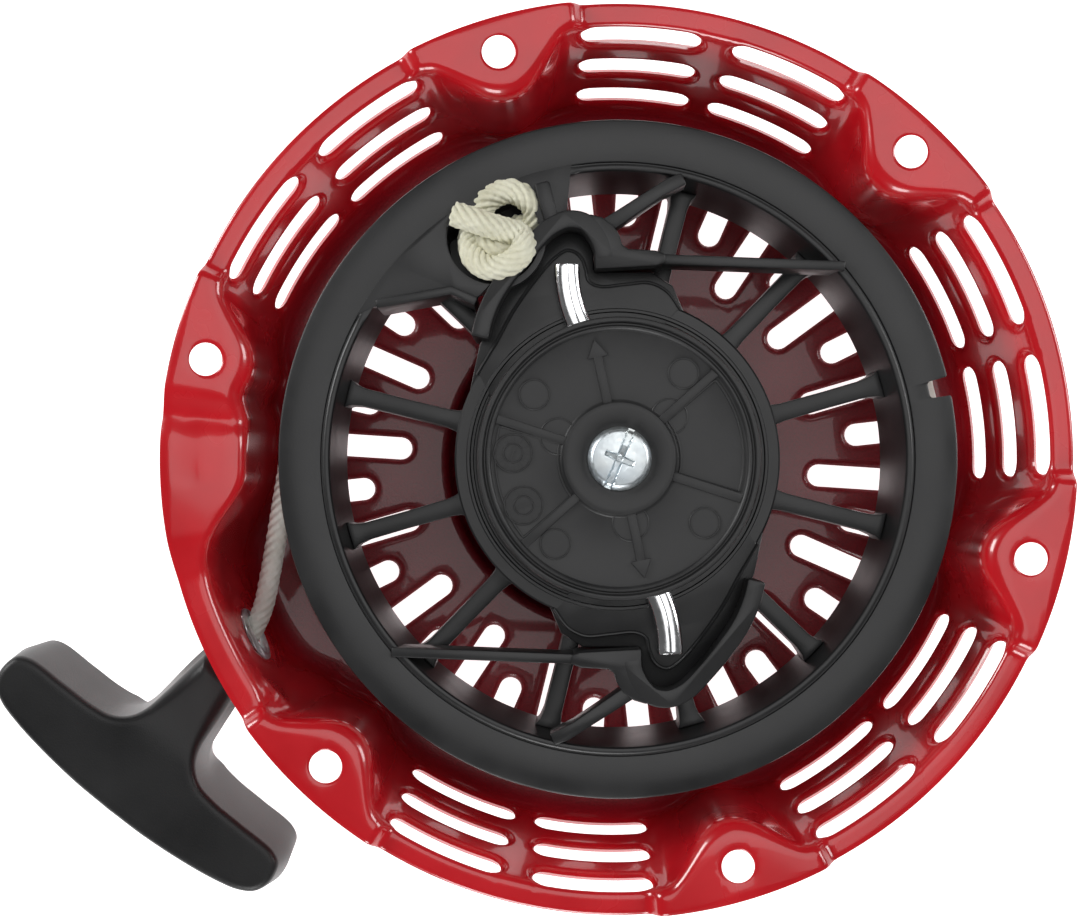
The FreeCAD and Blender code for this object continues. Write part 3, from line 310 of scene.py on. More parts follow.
def evenly(points, step):
    """The same line with points at equal distances."""
    lengths = [0.0]
    for a, b in zip(points, points[1:]):
        lengths.append(lengths[-1] + (b - a).length)
    count = max(2, round(lengths[-1] / step))
    found, at = [], 0
    for index in range(count + 1):
        goal = lengths[-1] * index / count
        while at < len(points) - 2 and lengths[at + 1] < goal:
            at += 1
        span = max(lengths[at + 1] - lengths[at], 1e-9)
        found.append(points[at].lerp(points[at + 1], (goal - lengths[at]) / span))
    return found


def frames_along(points):
    """Point, normal and side at each point, carried along without twist."""
    frames = []
    normal = None
    for index, point in enumerate(points):
        tangent = (points[min(index + 1, len(points) - 1)] - points[max(index - 1, 0)]).normalized()
        if normal is None:
            normal = tangent.orthogonal().normalized()
        normal = (normal - tangent * normal.dot(tangent)).normalized()
        frames.append((point, normal, tangent.cross(normal)))
    return frames


def tube(points, section):
    """Points and faces of a section, a function of the place along the line, swept along it."""
    found = []
    for index, (point, normal, side) in enumerate(frames_along(points)):
        found += [point + normal * x + side * y for x, y in section(index)]
    sides = len(found) // len(points)
    faces = swept_faces(len(points), sides)
    faces.append(tuple(reversed(range(sides))))
    faces.append(tuple(range(len(found) - sides, len(found))))
    return found, faces


def braided_rope(name, points, material, radius=ROPE_RADIUS, sides=56, pitch=19.0, yarns=7, relief=0.55):
    """Rope whose yarns stand out as ridges that wind one way, crossed by a fainter set the other way."""
    travelled = [0.0]
    for a, b in zip(points, points[1:]):
        travelled.append(travelled[-1] + (b - a).length)

    def section(index):
        twist = 2 * math.pi * travelled[index] / pitch
        ring = []
        for side in range(sides):
            turn = 2 * math.pi * side / sides
            ridge = abs(math.cos((turn - twist) * yarns / 2))
            cross = abs(math.cos((turn + 0.8 * twist) * yarns / 2))
            here = radius - relief * (1 - ridge) ** 1.3 - 0.3 * relief * (1 - cross)
            ring.append((here * math.cos(turn), here * math.sin(turn)))
        return ring

    found, faces = tube(points, section)
    return clean(new_object(name, found, faces, material), 0.001)


def arc_route(corners, step=0.8):
    """Points along straight runs joined by tangent arcs, each as large as its runs allow."""
    line = [corners[0]]
    for before, corner, after in zip(corners, corners[1:], corners[2:]):
        reach = 0.45 * min((before - corner).length, (after - corner).length)
        inward, outward = (before - corner).normalized(), (after - corner).normalized()
        start, end = corner + inward * reach, corner + outward * reach
        for index in range(13):
            share = index / 12
            line.append(start.lerp(corner, share).lerp(corner.lerp(end, share), share))
    line.append(corners[-1])
    return evenly(line, step)


# --- Materials ---------------------------------------------------------------


class Nodes:
    """A material and short ways to add and link its nodes."""

    def __init__(self, name):
        self.material = bpy.data.materials.new(name)
        self.material.use_nodes = True
        self.tree = self.material.node_tree
        self.shader = self.tree.nodes["Principled BSDF"]
        self.place = self.add("ShaderNodeTexCoord").outputs["Object"]

    def add(self, kind, **settings):
        node = self.tree.nodes.new(kind)
        for name, value in settings.items():
            setattr(node, name, value)
        return node

    def link(self, source, target):
        self.tree.links.new(source, target)

    def noise(self, scale, detail=3.0, roughness=0.5, stretch=None):
        node = self.add("ShaderNodeTexNoise")
        node.inputs["Scale"].default_value = scale
        node.inputs["Detail"].default_value = detail
        node.inputs["Roughness"].default_value = roughness
        place = self.place
        if stretch:
            mapping = self.add("ShaderNodeMapping")
            mapping.inputs["Scale"].default_value = stretch
            self.link(place, mapping.inputs["Vector"])
            place = mapping.outputs["Vector"]
        self.link(place, node.inputs["Vector"])
        return node.outputs["Fac"]

    def spread(self, source, low, high, from_low=0.3, from_high=0.7):
        """Map a factor to a range."""
        node = self.add("ShaderNodeMapRange")
        for index, value in enumerate((from_low, from_high, low, high), start=1):
            node.inputs[index].default_value = value
        self.link(source, node.inputs["Value"])
        return node.outputs["Result"]

    def colours(self, source, low, high):
        """Blend between two colours by a factor."""
        node = self.add("ShaderNodeValToRGB")
        ramp = node.color_ramp
        ramp.elements[0].position, ramp.elements[1].position = 0.3, 0.7
        ramp.elements[0].color = (*low, 1)
        ramp.elements[1].color = (*high, 1)
        self.link(source, node.inputs["Fac"])
        return node.outputs["Color"]

    def bump(self, source, depth, strength=1.0, after=None):
        node = self.add("ShaderNodeBump")
        node.inputs["Strength"].default_value = strength
        node.inputs["Distance"].default_value = depth * MM
        self.link(source, node.inputs["Height"])
        if after:
            self.link(after, node.inputs["Normal"])
        return node.outputs["Normal"]

    def mix(self, factor, a, b):
        """Blend two factors."""
        node = self.add("ShaderNodeMix")
        self.link(factor, node.inputs[0])
        for source, socket in ((a, node.inputs[2]), (b, node.inputs[3])):
            if isinstance(source, float):
                socket.default_value = source
            else:
                self.link(source, socket)
        return node.outputs[0]

    def blend(self, factor, a, b):
        """Blend two colours."""
        node = self.add("ShaderNodeMix", data_type="RGBA")
        for source, socket in ((factor, node.inputs[0]), (a, node.inputs[6]), (b, node.inputs[7])):
            self.link(source, socket)
        return node.outputs[2]

    def set(self, **sockets):
        for name, value in sockets.items():
            socket = self.shader.inputs[name.replace("_", " ")]
            if hasattr(value, "is_linked"):
                self.link(value, socket)
            else:
                socket.default_value = value
        return self.material


def red_paint():
    """Glossy enamel on pressed steel, thick and smooth on the wall, grainy on the floor, where the colour is
    also darkened as painted shade.
    """
    nodes = Nodes("red_paint")
    height = nodes.add("ShaderNodeSeparateXYZ")
    nodes.link(nodes.place, height.inputs[0])
    # deep is 1 on the floor: it roughens the paint there, and it also darkens the colour there as painted shade
    # of the deep recess.
    deep = nodes.spread(height.outputs["Z"], 1.0, 0.0, -0.0475, -0.041)
    grain = nodes.noise(1500, 3.0, 0.6)
    peel = nodes.noise(160, 2.0, 0.5)
    tint = nodes.noise(45, 3.0, 0.55)
    smooth = nodes.bump(peel, 0.05, 0.35)
    rough = nodes.bump(nodes.mix(deep, 0.5, grain), 0.16, 0.9, smooth)
    shallow = nodes.colours(tint, (0.46, 0.004, 0.009), (0.57, 0.006, 0.013))
    # Dark red for the floor: painted shade of the recess, mottled by the paint grain.
    floor_red_painted_shade = nodes.colours(grain, (0.17, 0.002, 0.007), (0.28, 0.004, 0.013))
    colour = nodes.blend(deep, shallow, floor_red_painted_shade)
    return nodes.set(
        Base_Color=colour,
        Roughness=nodes.mix(deep, nodes.spread(tint, 0.20, 0.30), nodes.spread(grain, 0.38, 0.55)),
        Normal=rough,
        Coat_Weight=0.7,
        Coat_Roughness=0.06,
        Specular_IOR_Level=0.5,
    )


def black_plastic():
    """Moulded nylon: fine spark-eroded grain, faint flow marks and slightly worn sheen."""
    nodes = Nodes("black_plastic")
    grain = nodes.noise(2600, 2.0, 0.6)
    cloud = nodes.noise(38, 4.0, 0.6)
    colour = nodes.colours(cloud, (0.009, 0.009, 0.0095), (0.017, 0.017, 0.0175))
    return nodes.set(
        Base_Color=colour,
        Roughness=nodes.spread(cloud, 0.30, 0.44),
        Normal=nodes.bump(grain, 0.03, 0.7),
        Specular_IOR_Level=0.5,
    )


def guide_plastic():
    """Acetal disc: satin black with fine tool marks round the axis."""
    nodes = Nodes("guide_plastic")
    radius = nodes.add("ShaderNodeVectorMath", operation="LENGTH")
    nodes.link(nodes.place, radius.inputs[0])
    tool = nodes.add("ShaderNodeTexNoise", noise_dimensions="1D")
    tool.inputs["Scale"].default_value = 2600
    nodes.link(radius.outputs["Value"], tool.inputs["W"])
    cloud = nodes.noise(60, 4.0, 0.6)
    grain = nodes.noise(2200, 2.0, 0.5)
    ground = nodes.bump(grain, 0.02, 0.5)
    return nodes.set(
        Base_Color=nodes.colours(cloud, (0.012, 0.012, 0.0125), (0.022, 0.022, 0.0225)),
        Roughness=nodes.spread(cloud, 0.40, 0.52),
        Normal=nodes.bump(tool.outputs["Fac"], 0.008, 0.5, ground),
        Specular_IOR_Level=0.5,
    )


def grip_plastic():
    """Coarser satin plastic of the handle, paler where it is rubbed."""
    nodes = Nodes("grip_plastic")
    grain = nodes.noise(1900, 2.0, 0.6)
    cloud = nodes.noise(30, 3.0, 0.5)
    return nodes.set(
        Base_Color=nodes.colours(cloud, (0.010, 0.010, 0.0105), (0.018, 0.018, 0.0185)),
        Roughness=nodes.spread(cloud, 0.32, 0.44),
        Normal=nodes.bump(grain, 0.04, 0.8),
        Specular_IOR_Level=0.3,
    )


def rope_fibre(name, low, high):
    """Twisted polyester yarn: fine fibres, a soft sheen and a slightly soiled, uneven tone."""
    nodes = Nodes(name)
    fibre = nodes.noise(1400, 3.0, 0.6, (1.0, 1.0, 0.35))
    yarn = nodes.noise(420, 2.0, 0.5)
    shade = nodes.noise(110, 3.0, 0.5)
    fine = nodes.bump(fibre, 0.10, 0.8)
    return nodes.set(
        Base_Color=nodes.colours(shade, low, high),
        Roughness=nodes.spread(fibre, 0.55, 0.75),
        Normal=nodes.bump(yarn, 0.12, 0.6, fine),
        Sheen_Weight=0.3,
        Sheen_Roughness=0.4,
        Subsurface_Weight=0.08,
        Subsurface_Radius=(0.001, 0.0009, 0.0007),
    )


def metal(name, colour, shine, roughness, grain_scale):
    """Bare or plated steel with fine marks."""
    nodes = Nodes(name)
    marks = nodes.noise(grain_scale, 3.0, 0.6)
    cloud = nodes.noise(90, 3.0, 0.5)
    return nodes.set(
        Base_Color=nodes.colours(cloud, colour, shine),
        Metallic=1.0,
        Roughness=nodes.spread(marks, roughness * 0.75, roughness * 1.4),
        Normal=nodes.bump(marks, 0.006, 0.5),
    )


MATERIALS = {
    "red_paint": red_paint(),
    "black_plastic": black_plastic(),
    "guide_plastic": guide_plastic(),
    "grip_plastic": grip_plastic(),
    "rope_cream": rope_fibre("rope_cream", (0.66, 0.64, 0.48), (0.80, 0.79, 0.64)),
    "rope_grey": rope_fibre("rope_grey", (0.56, 0.55, 0.50), (0.72, 0.71, 0.66)),
    "bright_steel": metal("bright_steel", (0.80, 0.81, 0.83), (0.92, 0.92, 0.93), 0.14, 700),
    "zinc_steel": metal("zinc_steel", (0.66, 0.74, 0.80), (0.82, 0.85, 0.84), 0.36, 900),
    "spring_steel": metal("spring_steel", (0.30, 0.31, 0.34), (0.42, 0.43, 0.46), 0.32, 900),
}


def finish(obj, body, nodes):
    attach(obj, body)
    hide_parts(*nodes)
    return obj


# --- Case --------------------------------------------------------------------

STEP = 0.5
START = PADS[3]
SPREAD = 106.0 * math.pi / 180
WALL_TOP = 5.5
WALL_END = 42.7
SHOULDER = 2.65
FILLET = 7.0
FILLET_ARC = 9.3
DRAFT = math.radians(14)


def away(a, b):
    """Signed angle from b to a, in degrees."""
    return (a - b + 180) % 360 - 180


def blend_points(table, at):
    """Value between the rows of a short table of (place, value)."""
    if at <= table[0][0]:
        return table[0][1]
    for (a, low), (b, high) in zip(table, table[1:]):
        if at <= b:
            share = (at - a) / (b - a)
            return low + (high - low) * share
    return table[-1][1]


def pad_edge(offset, nose):
    """Radius at which a ray meets a bolt pad: its nose circle or the straight sides to the rim."""
    lean = math.radians(abs(offset))
    across = BOLT_CIRCLE * math.sin(lean)
    found = 999.0
    if across < nose:
        found = BOLT_CIRCLE * math.cos(lean) - math.sqrt(nose**2 - across**2)
    corner = polar_point(RIM_RADIUS, 11.4)
    reach = math.hypot(corner.x - BOLT_CIRCLE, corner.y)
    turn = math.atan2(corner.y, corner.x - BOLT_CIRCLE) + math.acos(nose / reach)
    touch = Vector((BOLT_CIRCLE + nose * math.cos(turn), nose * math.sin(turn)))
    run = corner.xy - touch
    steep = math.cos(lean) * run.y - math.sin(lean) * run.x
    share = (touch.x * math.sin(lean) - touch.y * math.cos(lean)) / steep
    if 0 <= share <= 1:
        found = min(found, (touch + run * share).length)
    return found


LEDGE_TOP = (
    (169, 99.6), (171.3, 98.6), (173.4, 96.6), (177, 96.2), (183, 96.4), (184.8, 97.8), (187, 101),
    (189, 104.5), (191, 107.6), (193.5, 110), (198, 110.8), (205, 110.6), (213, 110.6), (217, 112),
)
LEDGE_FOOT = (
    (169, 97.4), (171.3, 96.8), (173.4, 94.6), (178, 94.4), (183, 95), (186, 97.4), (189, 101),
    (192, 105), (196, 107), (205, 107.2), (212, 106), (216, 101), (218, 100),
)
LEDGE_LEVEL = (
    (171, 0), (173, -1.6), (174.5, -2.5), (176.4, -1.1), (178, -1), (190.5, -1), (195.5, -3.5), (214, -3.5),
)


def contours():
    """Wall top, wall foot and flange height at each half degree, smoothed like pressed sheet."""
    top, foot, level = [], [], []
    for step in range(round(360 / STEP)):
        angle = step * STEP
        offset = min((away(angle, pad) for pad in PADS), key=abs)
        upper = min(WALL_RADIUS, pad_edge(offset, 11.8))
        lower = min(FLOOR_RADIUS, pad_edge(offset, 12.6))
        height = 0.0 if abs(offset) < 11.4 else -RIM_DROP
        if 169 <= angle <= 217:
            upper = min(upper, blend_points(LEDGE_TOP, angle)) if angle < 214 else upper
            lower = blend_points(LEDGE_FOOT, angle) if 171.3 < angle < 216 else lower
            lower = min(lower, pad_edge(offset, 12.6))
        if 171 <= angle <= 214:
            height = blend_points(LEDGE_LEVEL, angle)
        top.append(upper)
        foot.append(lower)
        level.append(height)
    return soften(top, 1.0), soften(foot, 1.5), soften(level, 0.45)


def soften(row, width):
    """Circular Gaussian average over a width in degrees."""
    reach = math.ceil(3 * width / STEP)
    weights = [math.exp(-0.5 * (index * STEP / width) ** 2) for index in range(-reach, reach + 1)]
    total = sum(weights)
    count = len(row)
    return [
        sum(row[(at + index - reach) % count] * weight for index, weight in enumerate(weights)) / total
        for at in range(count)
    ]


TOP, FOOT, LEVEL = contours()


def along_rim(row, angle):
    place = (angle % 360) / STEP
    low = int(place)
    share = place - low
    return row[low % len(row)] * (1 - share) + row[(low + 1) % len(row)] * share


def rounding(angle):
    """Radius of the bend from the flange into the wall."""
    offset = min(abs(away(angle, pad)) for pad in PADS)
    high = along_rim(LEVEL, angle) > -2.0
    wide = 4.6 if offset < 7 else 4.6 - 2.1 * min(1, (offset - 7) / 4)
    return wide if high or offset < 11 else 2.3


ROUND = soften([rounding(step * STEP) for step in range(round(360 / STEP))], 1.5)


def wall_slope(angle):
    """Lean of the wall from upright."""
    top, foot = along_rim(TOP, angle), along_rim(FOOT, angle)
    return math.atan2(top - foot, along_rim(LEVEL, angle) - FLOOR)


def flat_edge(angle):
    """Radius at which the flange starts to bend."""
    bend = along_rim(ROUND, angle)
    return along_rim(TOP, angle) + bend * math.tan((math.pi / 2 - wall_slope(angle)) / 2)


def floor_edge(angle):
    """Radius at which the floor starts to bend up."""
    return along_rim(FOOT, angle) - FILLET * math.tan((math.pi / 2 - wall_slope(angle)) / 2)


def wall_point(angle, depth):
    """Point of the bent flange edge, wall and bottom fillet at a depth that counts along the sheet."""
    lean = wall_slope(angle)
    turn = math.pi / 2 - lean
    bend = along_rim(ROUND, angle)
    level = along_rim(LEVEL, angle)
    if depth < WALL_TOP:
        share = 1 - (WALL_TOP - depth) / SHOULDER
        lean_here = share * turn
        radius = flat_edge(angle) - bend * math.sin(lean_here)
        z = level - bend + bend * math.cos(lean_here)
    elif depth > WALL_END:
        share = min(1, (depth - WALL_END) / FILLET_ARC)
        lean_here = (1 - share) * turn
        radius = floor_edge(angle) + FILLET * math.sin(lean_here)
        z = FLOOR + FILLET - FILLET * math.cos(lean_here)
    else:
        start = Vector((flat_edge(angle) - bend * math.sin(turn), level - bend + bend * math.cos(turn)))
        end = Vector((floor_edge(angle) + FILLET * math.sin(turn), FLOOR + FILLET - FILLET * math.cos(turn)))
        at = start.lerp(end, (depth - WALL_TOP) / (WALL_END - WALL_TOP))
        radius, z = at
    return polar_point(radius + dimple(angle, z) + exit_bead(angle, z), angle, z)


def exit_bead(angle, z):
    """Oval bead pressed round the rope exit."""
    gap = math.hypot(away(angle, EXIT_ANGLE) * 1.9, z - EXIT.z)
    return -0.7 * math.exp(-(((gap - 9.0) / 1.9) ** 2))


def dimple(angle, z):
    """Shallow facet pressed in beside the pad after the rope exit."""
    across = abs(away(angle, 214.6)) * 1.9 / 6.5
    up = abs(z + 12) / 8
    return -1.6 * max(0.0, 1 - across - up)


def slot_gap(x, y, slot):
    """Distance from a rounded slot's outline, negative inside it."""
    (x0, y0), (x1, y1), radius = slot
    run = Vector((x1 - x0, y1 - y0))
    share = max(0, min(1, ((x - x0) * run.x + (y - y0) * run.y) / run.length_squared))
    return math.hypot(x - x0 - share * run.x, y - y0 - share * run.y) - radius


def slot_loop(slot, grow):
    """Points round a slot, at a distance outside its outline."""
    (x0, y0), (x1, y1), radius = slot
    run = Vector((x1 - x0, y1 - y0))
    side = Vector((-run.y, run.x)).normalized() * (radius + grow)
    lean = math.atan2(side.y, side.x)
    straight = max(2, round(run.length / 1.3))
    points = []
    for index in range(straight):
        points.append(Vector((x1, y1)) + side - run * (index / straight))
    for index in range(10):
        turn = lean + math.pi * index / 10
        points.append(Vector((x0, y0)) + Vector((math.cos(turn), math.sin(turn))) * (radius + grow))
    for index in range(straight):
        points.append(Vector((x0, y0)) - side + run * (index / straight))
    for index in range(10):
        turn = lean + math.pi + math.pi * index / 10
        points.append(Vector((x1, y1)) + Vector((math.cos(turn), math.sin(turn))) * (radius + grow))
    return points


ROLL = ((0.0, 1.0), (0.35, 0.62), (0.8, 0.3), (1.35, 0.08), (2.1, 0.0))


def rolled(gap, depth):
    """How far the sheet bends away at a distance from a slot's edge."""
    return blend_points([(distance, share * depth) for distance, share in ROLL], max(gap, 0.0))


def wall_slots():
    """Slots of five of the six sectors, as arc length round the wall against depth."""
    slots = []
    for pad in PADS:
        if abs(away(pad, PADS[2])) < 1:
            continue
        for middle in (19.7, 40.3):
            place = (pad + middle - START) % 360 * SPREAD
            for row in range(3):
                depth = 9 + 14.8 * row
                radius = WALL_RADIUS - (depth - RIM_DROP) * math.tan(DRAFT)
                half = math.asin(15.6 / radius) * 106.0 - 3.5
                slots.append(((place - half, depth), (place + half, depth), 3.5))
    place = (EXIT_ANGLE - START) % 360 * SPREAD
    slots.append(((place - 0.3, EXIT_DEPTH), (place + 0.3, EXIT_DEPTH), EXIT_HOLE))
    return slots


def perforated(grid, borders, slots, drop):
    """Triangles over a field of points with slots left open. drop says where there is no sheet."""
    points = []
    for point in grid:
        near = [slot for slot in slots if abs(slot[0][0] + slot[1][0] - 2 * point.x) < 70]
        if all(slot_gap(point.x, point.y, slot) > 2.9 for slot in near):
            points.append(point)
    edges = []
    for loop, ring in borders:
        first = len(points)
        points += loop
        count = len(loop)
        edges += [(first + step, first + (step + 1) % count) for step in range(count if ring else count - 1)]
    for slot in slots:
        for grow, _ in ROLL:
            loop = slot_loop(slot, grow)
            if grow == 0:
                edges += ring_edges(len(points), len(loop))
            points += loop
    corners, _, triangles, *_ = delaunay_2d_cdt(points, edges, [], 0, 1e-5)
    kept = []
    for triangle in triangles:
        x = sum(corners[index].x for index in triangle) / 3
        y = sum(corners[index].y for index in triangle) / 3
        if drop(x, y) or any(slot_gap(x, y, slot) < 0 for slot in slots if abs(slot[0][0] - x) < 70):
            continue
        kept.append(tuple(triangle))
    return corners, kept


def case_wall():
    """Bent flange edge, wall and fillet, with the vent slots."""
    slots = wall_slots()
    columns = [index * STEP * SPREAD for index in range(round(360 / STEP) + 1)]
    top, bottom = WALL_TOP - SHOULDER, WALL_END + FILLET_ARC
    rows = [top + SHOULDER * share for share in (0.2, 0.4, 0.6, 0.8, 1.0)]
    rows += [WALL_TOP + 2.07 * index for index in range(1, 18)]
    rows += [WALL_END + FILLET_ARC * share for share in (0, 0.2, 0.4, 0.6, 0.8)]
    grid = [Vector((x, y)) for x in columns for y in rows]
    borders = [([Vector((x, y)) for x in columns], False) for y in (top, bottom)]
    corners, faces = perforated(grid, borders, slots, lambda x, y: False)
    points = []
    for corner in corners:
        angle = START + corner.x / SPREAD
        point = wall_point(angle, corner.y)
        near = [slot for slot in slots if abs(slot[0][0] + slot[1][0] - 2 * corner.x) < 60]
        gap = min((slot_gap(corner.x, corner.y, slot) for slot in near), default=9.0)
        points.append(point + polar_point(rolled(gap, 1.0), angle))
    return points, faces


def flange_height(angle, radius):
    """Height of the flange, with the groove that sets the ledge off from the rim."""
    z = along_rim(LEVEL, angle)
    groove = math.exp(-(((radius - 113) / 1.1) ** 2))
    along = max(0.0, 1 - (abs(away(angle, 179)) / 4.5) ** 4)
    lip = max(0.0, radius - RIM_RADIUS + 0.9)
    return z - 0.9 * groove * along - 0.45 * lip**2


def case_flange():
    """Flat rim with the bolt holes."""
    angles = [START + index * STEP for index in range(round(360 / STEP))]
    holes = [polar_point(BOLT_CIRCLE, pad).xy for pad in PADS]
    grid = []
    for angle in angles:
        inner = flat_edge(angle)
        for share in (0.16, 0.33, 0.5, 0.67, 0.84, 0.93):
            grid.append(polar_point(inner + (RIM_RADIUS - inner) * share, angle).xy)
    grid = [point for point in grid if all((point - hole).length > BOLT_HOLE + 1.3 for hole in holes)]
    loops = [
        [polar_point(RIM_RADIUS, angle).xy for angle in angles],
        [polar_point(flat_edge(angle), angle).xy for angle in angles],
    ]
    for hole in holes:
        for grow in (0.0, 0.35, 0.9):
            loops.append([hole + polar_point(BOLT_HOLE + grow, 7.5 * index).xy for index in range(48)])
    edges = add_rings(grid, loops)
    corners, _, triangles, *_ = delaunay_2d_cdt(grid, edges, [], 0, 1e-5)
    faces, points = [], []
    for triangle in triangles:
        middle = middle_of(corners, triangle)
        angle = math.degrees(math.atan2(middle.y, middle.x))
        if middle.length < flat_edge(angle) - 0.02:
            continue
        if any((middle - hole).length < BOLT_HOLE * 0.998 for hole in holes):
            continue
        faces.append(tuple(triangle))
    for corner in corners:
        angle = math.degrees(math.atan2(corner.y, corner.x))
        gap = min((corner - hole).length for hole in holes) - BOLT_HOLE
        sunk = 0.3 * max(0.0, 1 - gap / 0.8) ** 2
        points.append(Vector((corner.x, corner.y, flange_height(angle, corner.length) - sunk)))
    return points, faces


def floor_slots():
    slots = []
    for index in range(36):
        angle = -3.7 + 10 * index
        inner = 57 if index % 2 == 0 else 68
        near, far = polar_point(inner + 3.15, angle), polar_point(84 - 3.15, angle)
        slots.append(((near.x, near.y), (far.x, far.y), 3.15))
    return slots


def case_floor():
    """Floor ring with its slots."""
    slots = floor_slots()
    angles = [START + index * STEP for index in range(round(360 / STEP))]
    grid = []
    for index, angle in enumerate(angles):
        if index % 3 == 0:
            grid += [polar_point(radius, angle).xy for radius in (51, 54, 57.5, 61, 64.5, 68, 72, 76)]
        if index % 2 == 0:
            outer = floor_edge(angle)
            grid += [polar_point(radius, angle).xy for radius in (80, 83.5, 87) if radius < outer - 1.5]
            grid.append(polar_point((87 + outer) / 2, angle).xy)
    borders = [
        ([polar_point(floor_edge(angle), angle).xy for angle in angles], True),
        ([polar_point(CUP_RADIUS + 2.5, 2 * STEP * index).xy for index in range(round(180 / STEP))], True),
    ]
    corners, faces = perforated(grid, borders, slots, outside_floor)
    points = []
    for corner in corners:
        gap = min(slot_gap(corner.x, corner.y, slot) for slot in slots)
        points.append(Vector((corner.x, corner.y, FLOOR - rolled(gap, 1.1))))
    return points, faces


def outside_floor(x, y):
    radius = math.hypot(x, y)
    edge = floor_edge(math.degrees(math.atan2(y, x)))
    return radius > edge + 0.02 or radius < CUP_RADIUS + 2.49


def case_cup():
    """Step down into the cup, and the cup's floor."""
    profile = [(CUP_RADIUS + 2.5, FLOOR)]
    for lean in (20, 40, 60, 80):
        bend = polar_point(2.5, lean)
        profile.append((CUP_RADIUS + 2.5 - bend.y, FLOOR - 2.5 + bend.x))
    for lean in (10, 30, 50, 70, 90):
        bend = polar_point(3, lean)
        profile.append((CUP_RADIUS - 3.4 + bend.x, CUP_FLOOR + 3 - bend.y))
    profile += [(30, CUP_FLOOR), (14, CUP_FLOOR), (5.2, CUP_FLOOR)]
    rows = round(180 / STEP)
    points = [polar_point(radius, 2 * STEP * row, z) for row in range(rows) for radius, z in profile]
    return points, turned_faces(rows, len(profile), closed=False)


def starter_case():
    points, faces = [], []
    for make in (case_flange, case_wall, case_floor, case_cup):
        more_points, more_faces = make()
        first = len(points)
        points += more_points
        faces += [tuple(first + index for index in face) for face in more_faces]
    obj = clean(new_object("case_shell", points, faces, MATERIALS["red_paint"]), 0.03)
    upward = sum(face.normal.z for face in obj.data.polygons if face.center.z < FLOOR * MM * 0.98)
    if upward < 0:
        obj.data.flip_normals()
    modify(obj, "SOLIDIFY", thickness=SHEET * MM, offset=-1, use_even_offset=False, use_rim=True)
    bake_modifiers(obj)
    smooth_by_angle(obj, 50)
    return finish(obj, "housing", ["starter_case"])


# --- Stage -------------------------------------------------------------------


def stage_and_camera():
    """Pale floor, soft panels above, and the camera straight over the open side."""
    mesh = bpy.data.meshes.new("studio_floor")
    size, low = 3.0, -0.0600
    corners = [(-size, -size, low), (size, -size, low), (size, size, low), (-size, size, low)]
    mesh.from_pydata(corners, [], [(0, 1, 2, 3)])
    floor = bpy.data.objects.new("studio_floor", mesh)
    bpy.context.scene.collection.objects.link(floor)
    nodes = Nodes("floor_white")
    mesh.materials.append(nodes.set(
        Base_Color=(0.92, 0.92, 0.92, 1), Roughness=0.9,
        Emission_Color=(1, 1, 1, 1), Emission_Strength=0.95,
    ))
    for name, place, size, power in (
        ("panel_above", (0.15, 0.25, 1.3), 1.1, 5.5),
        ("panel_left", (-1.25, 0.55, 0.62), 0.55, 13.0),
        ("panel_right", (1.25, 0.35, 0.62), 0.55, 8.0),
        ("panel_front", (-0.2, -1.35, 0.62), 0.6, 11.0),
    ):
        light = bpy.data.lights.new(name, "AREA")
        light.shape, light.size, light.energy = "SQUARE", size, power
        lamp = bpy.data.objects.new(name, light)
        lamp.location = place
        lamp.rotation_euler = (Vector((0, 0, -0.03)) - Vector(place)).to_track_quat("-Z", "Y").to_euler()
        bpy.context.scene.collection.objects.link(lamp)
    world = bpy.data.worlds.new("studio")
    bpy.context.scene.world = world
    world.use_nodes = True
    background = world.node_tree.nodes["Background"]
    background.inputs["Color"].default_value = (1, 1, 1, 1)
    background.inputs["Strength"].default_value = 0.10
    data = bpy.data.cameras.new("camera")
    data.lens, data.sensor_width, data.shift_y = 51.98, 36, 0.0236
    data.clip_start, data.clip_end = 0.01, 20
    camera = bpy.data.objects.new("camera", data)
    camera.location = (-0.0201, -0.00665, 0.4)
    bpy.context.scene.collection.objects.link(camera)
    bpy.context.scene.camera = camera
    bpy.context.scene.view_settings.view_transform = "Standard"
    bpy.context.scene.view_settings.look = "None"


# --- Reel --------------------------------------------------------------------


class RimShape:
    """Outer radius of the reel rim, with the notch that parks the rope."""

    turn, width, depth, corner = 12.5, 4.6, 5.4, 0.9

    def __init__(self):
        fine = [self.turn + 0.1 * index for index in range(-30, 31)]
        coarse = [angle for angle in range(0, 360, 1) if abs(away(angle, self.turn)) > 3.05]
        self.angles = sorted(fine + coarse)

    def __call__(self, radius, z, angle):
        if radius < 77 and z > REEL_TOP - 0.9:
            flat = smooth_step((angle - 97) / 3) * smooth_step((153 - angle) / 3)
            return radius, z + flat * (REEL_TOP - 0.1 - z)
        if radius < 80 or z < -6:
            return radius, z
        across = math.radians(abs(away(angle, self.turn))) * REEL_RADIUS
        half = self.width / 2
        floor = REEL_RADIUS - self.depth
        if across < half - self.corner:
            return radius - REEL_RADIUS + floor, z
        if across < half:
            inner = across - half + self.corner
            return radius - REEL_RADIUS + floor + self.corner - math.sqrt(self.corner**2 - inner**2), z
        if across < half + self.corner:
            outer = half + self.corner - across
            return radius - self.corner + math.sqrt(max(0.0, self.corner**2 - outer**2)), z
        return radius, z


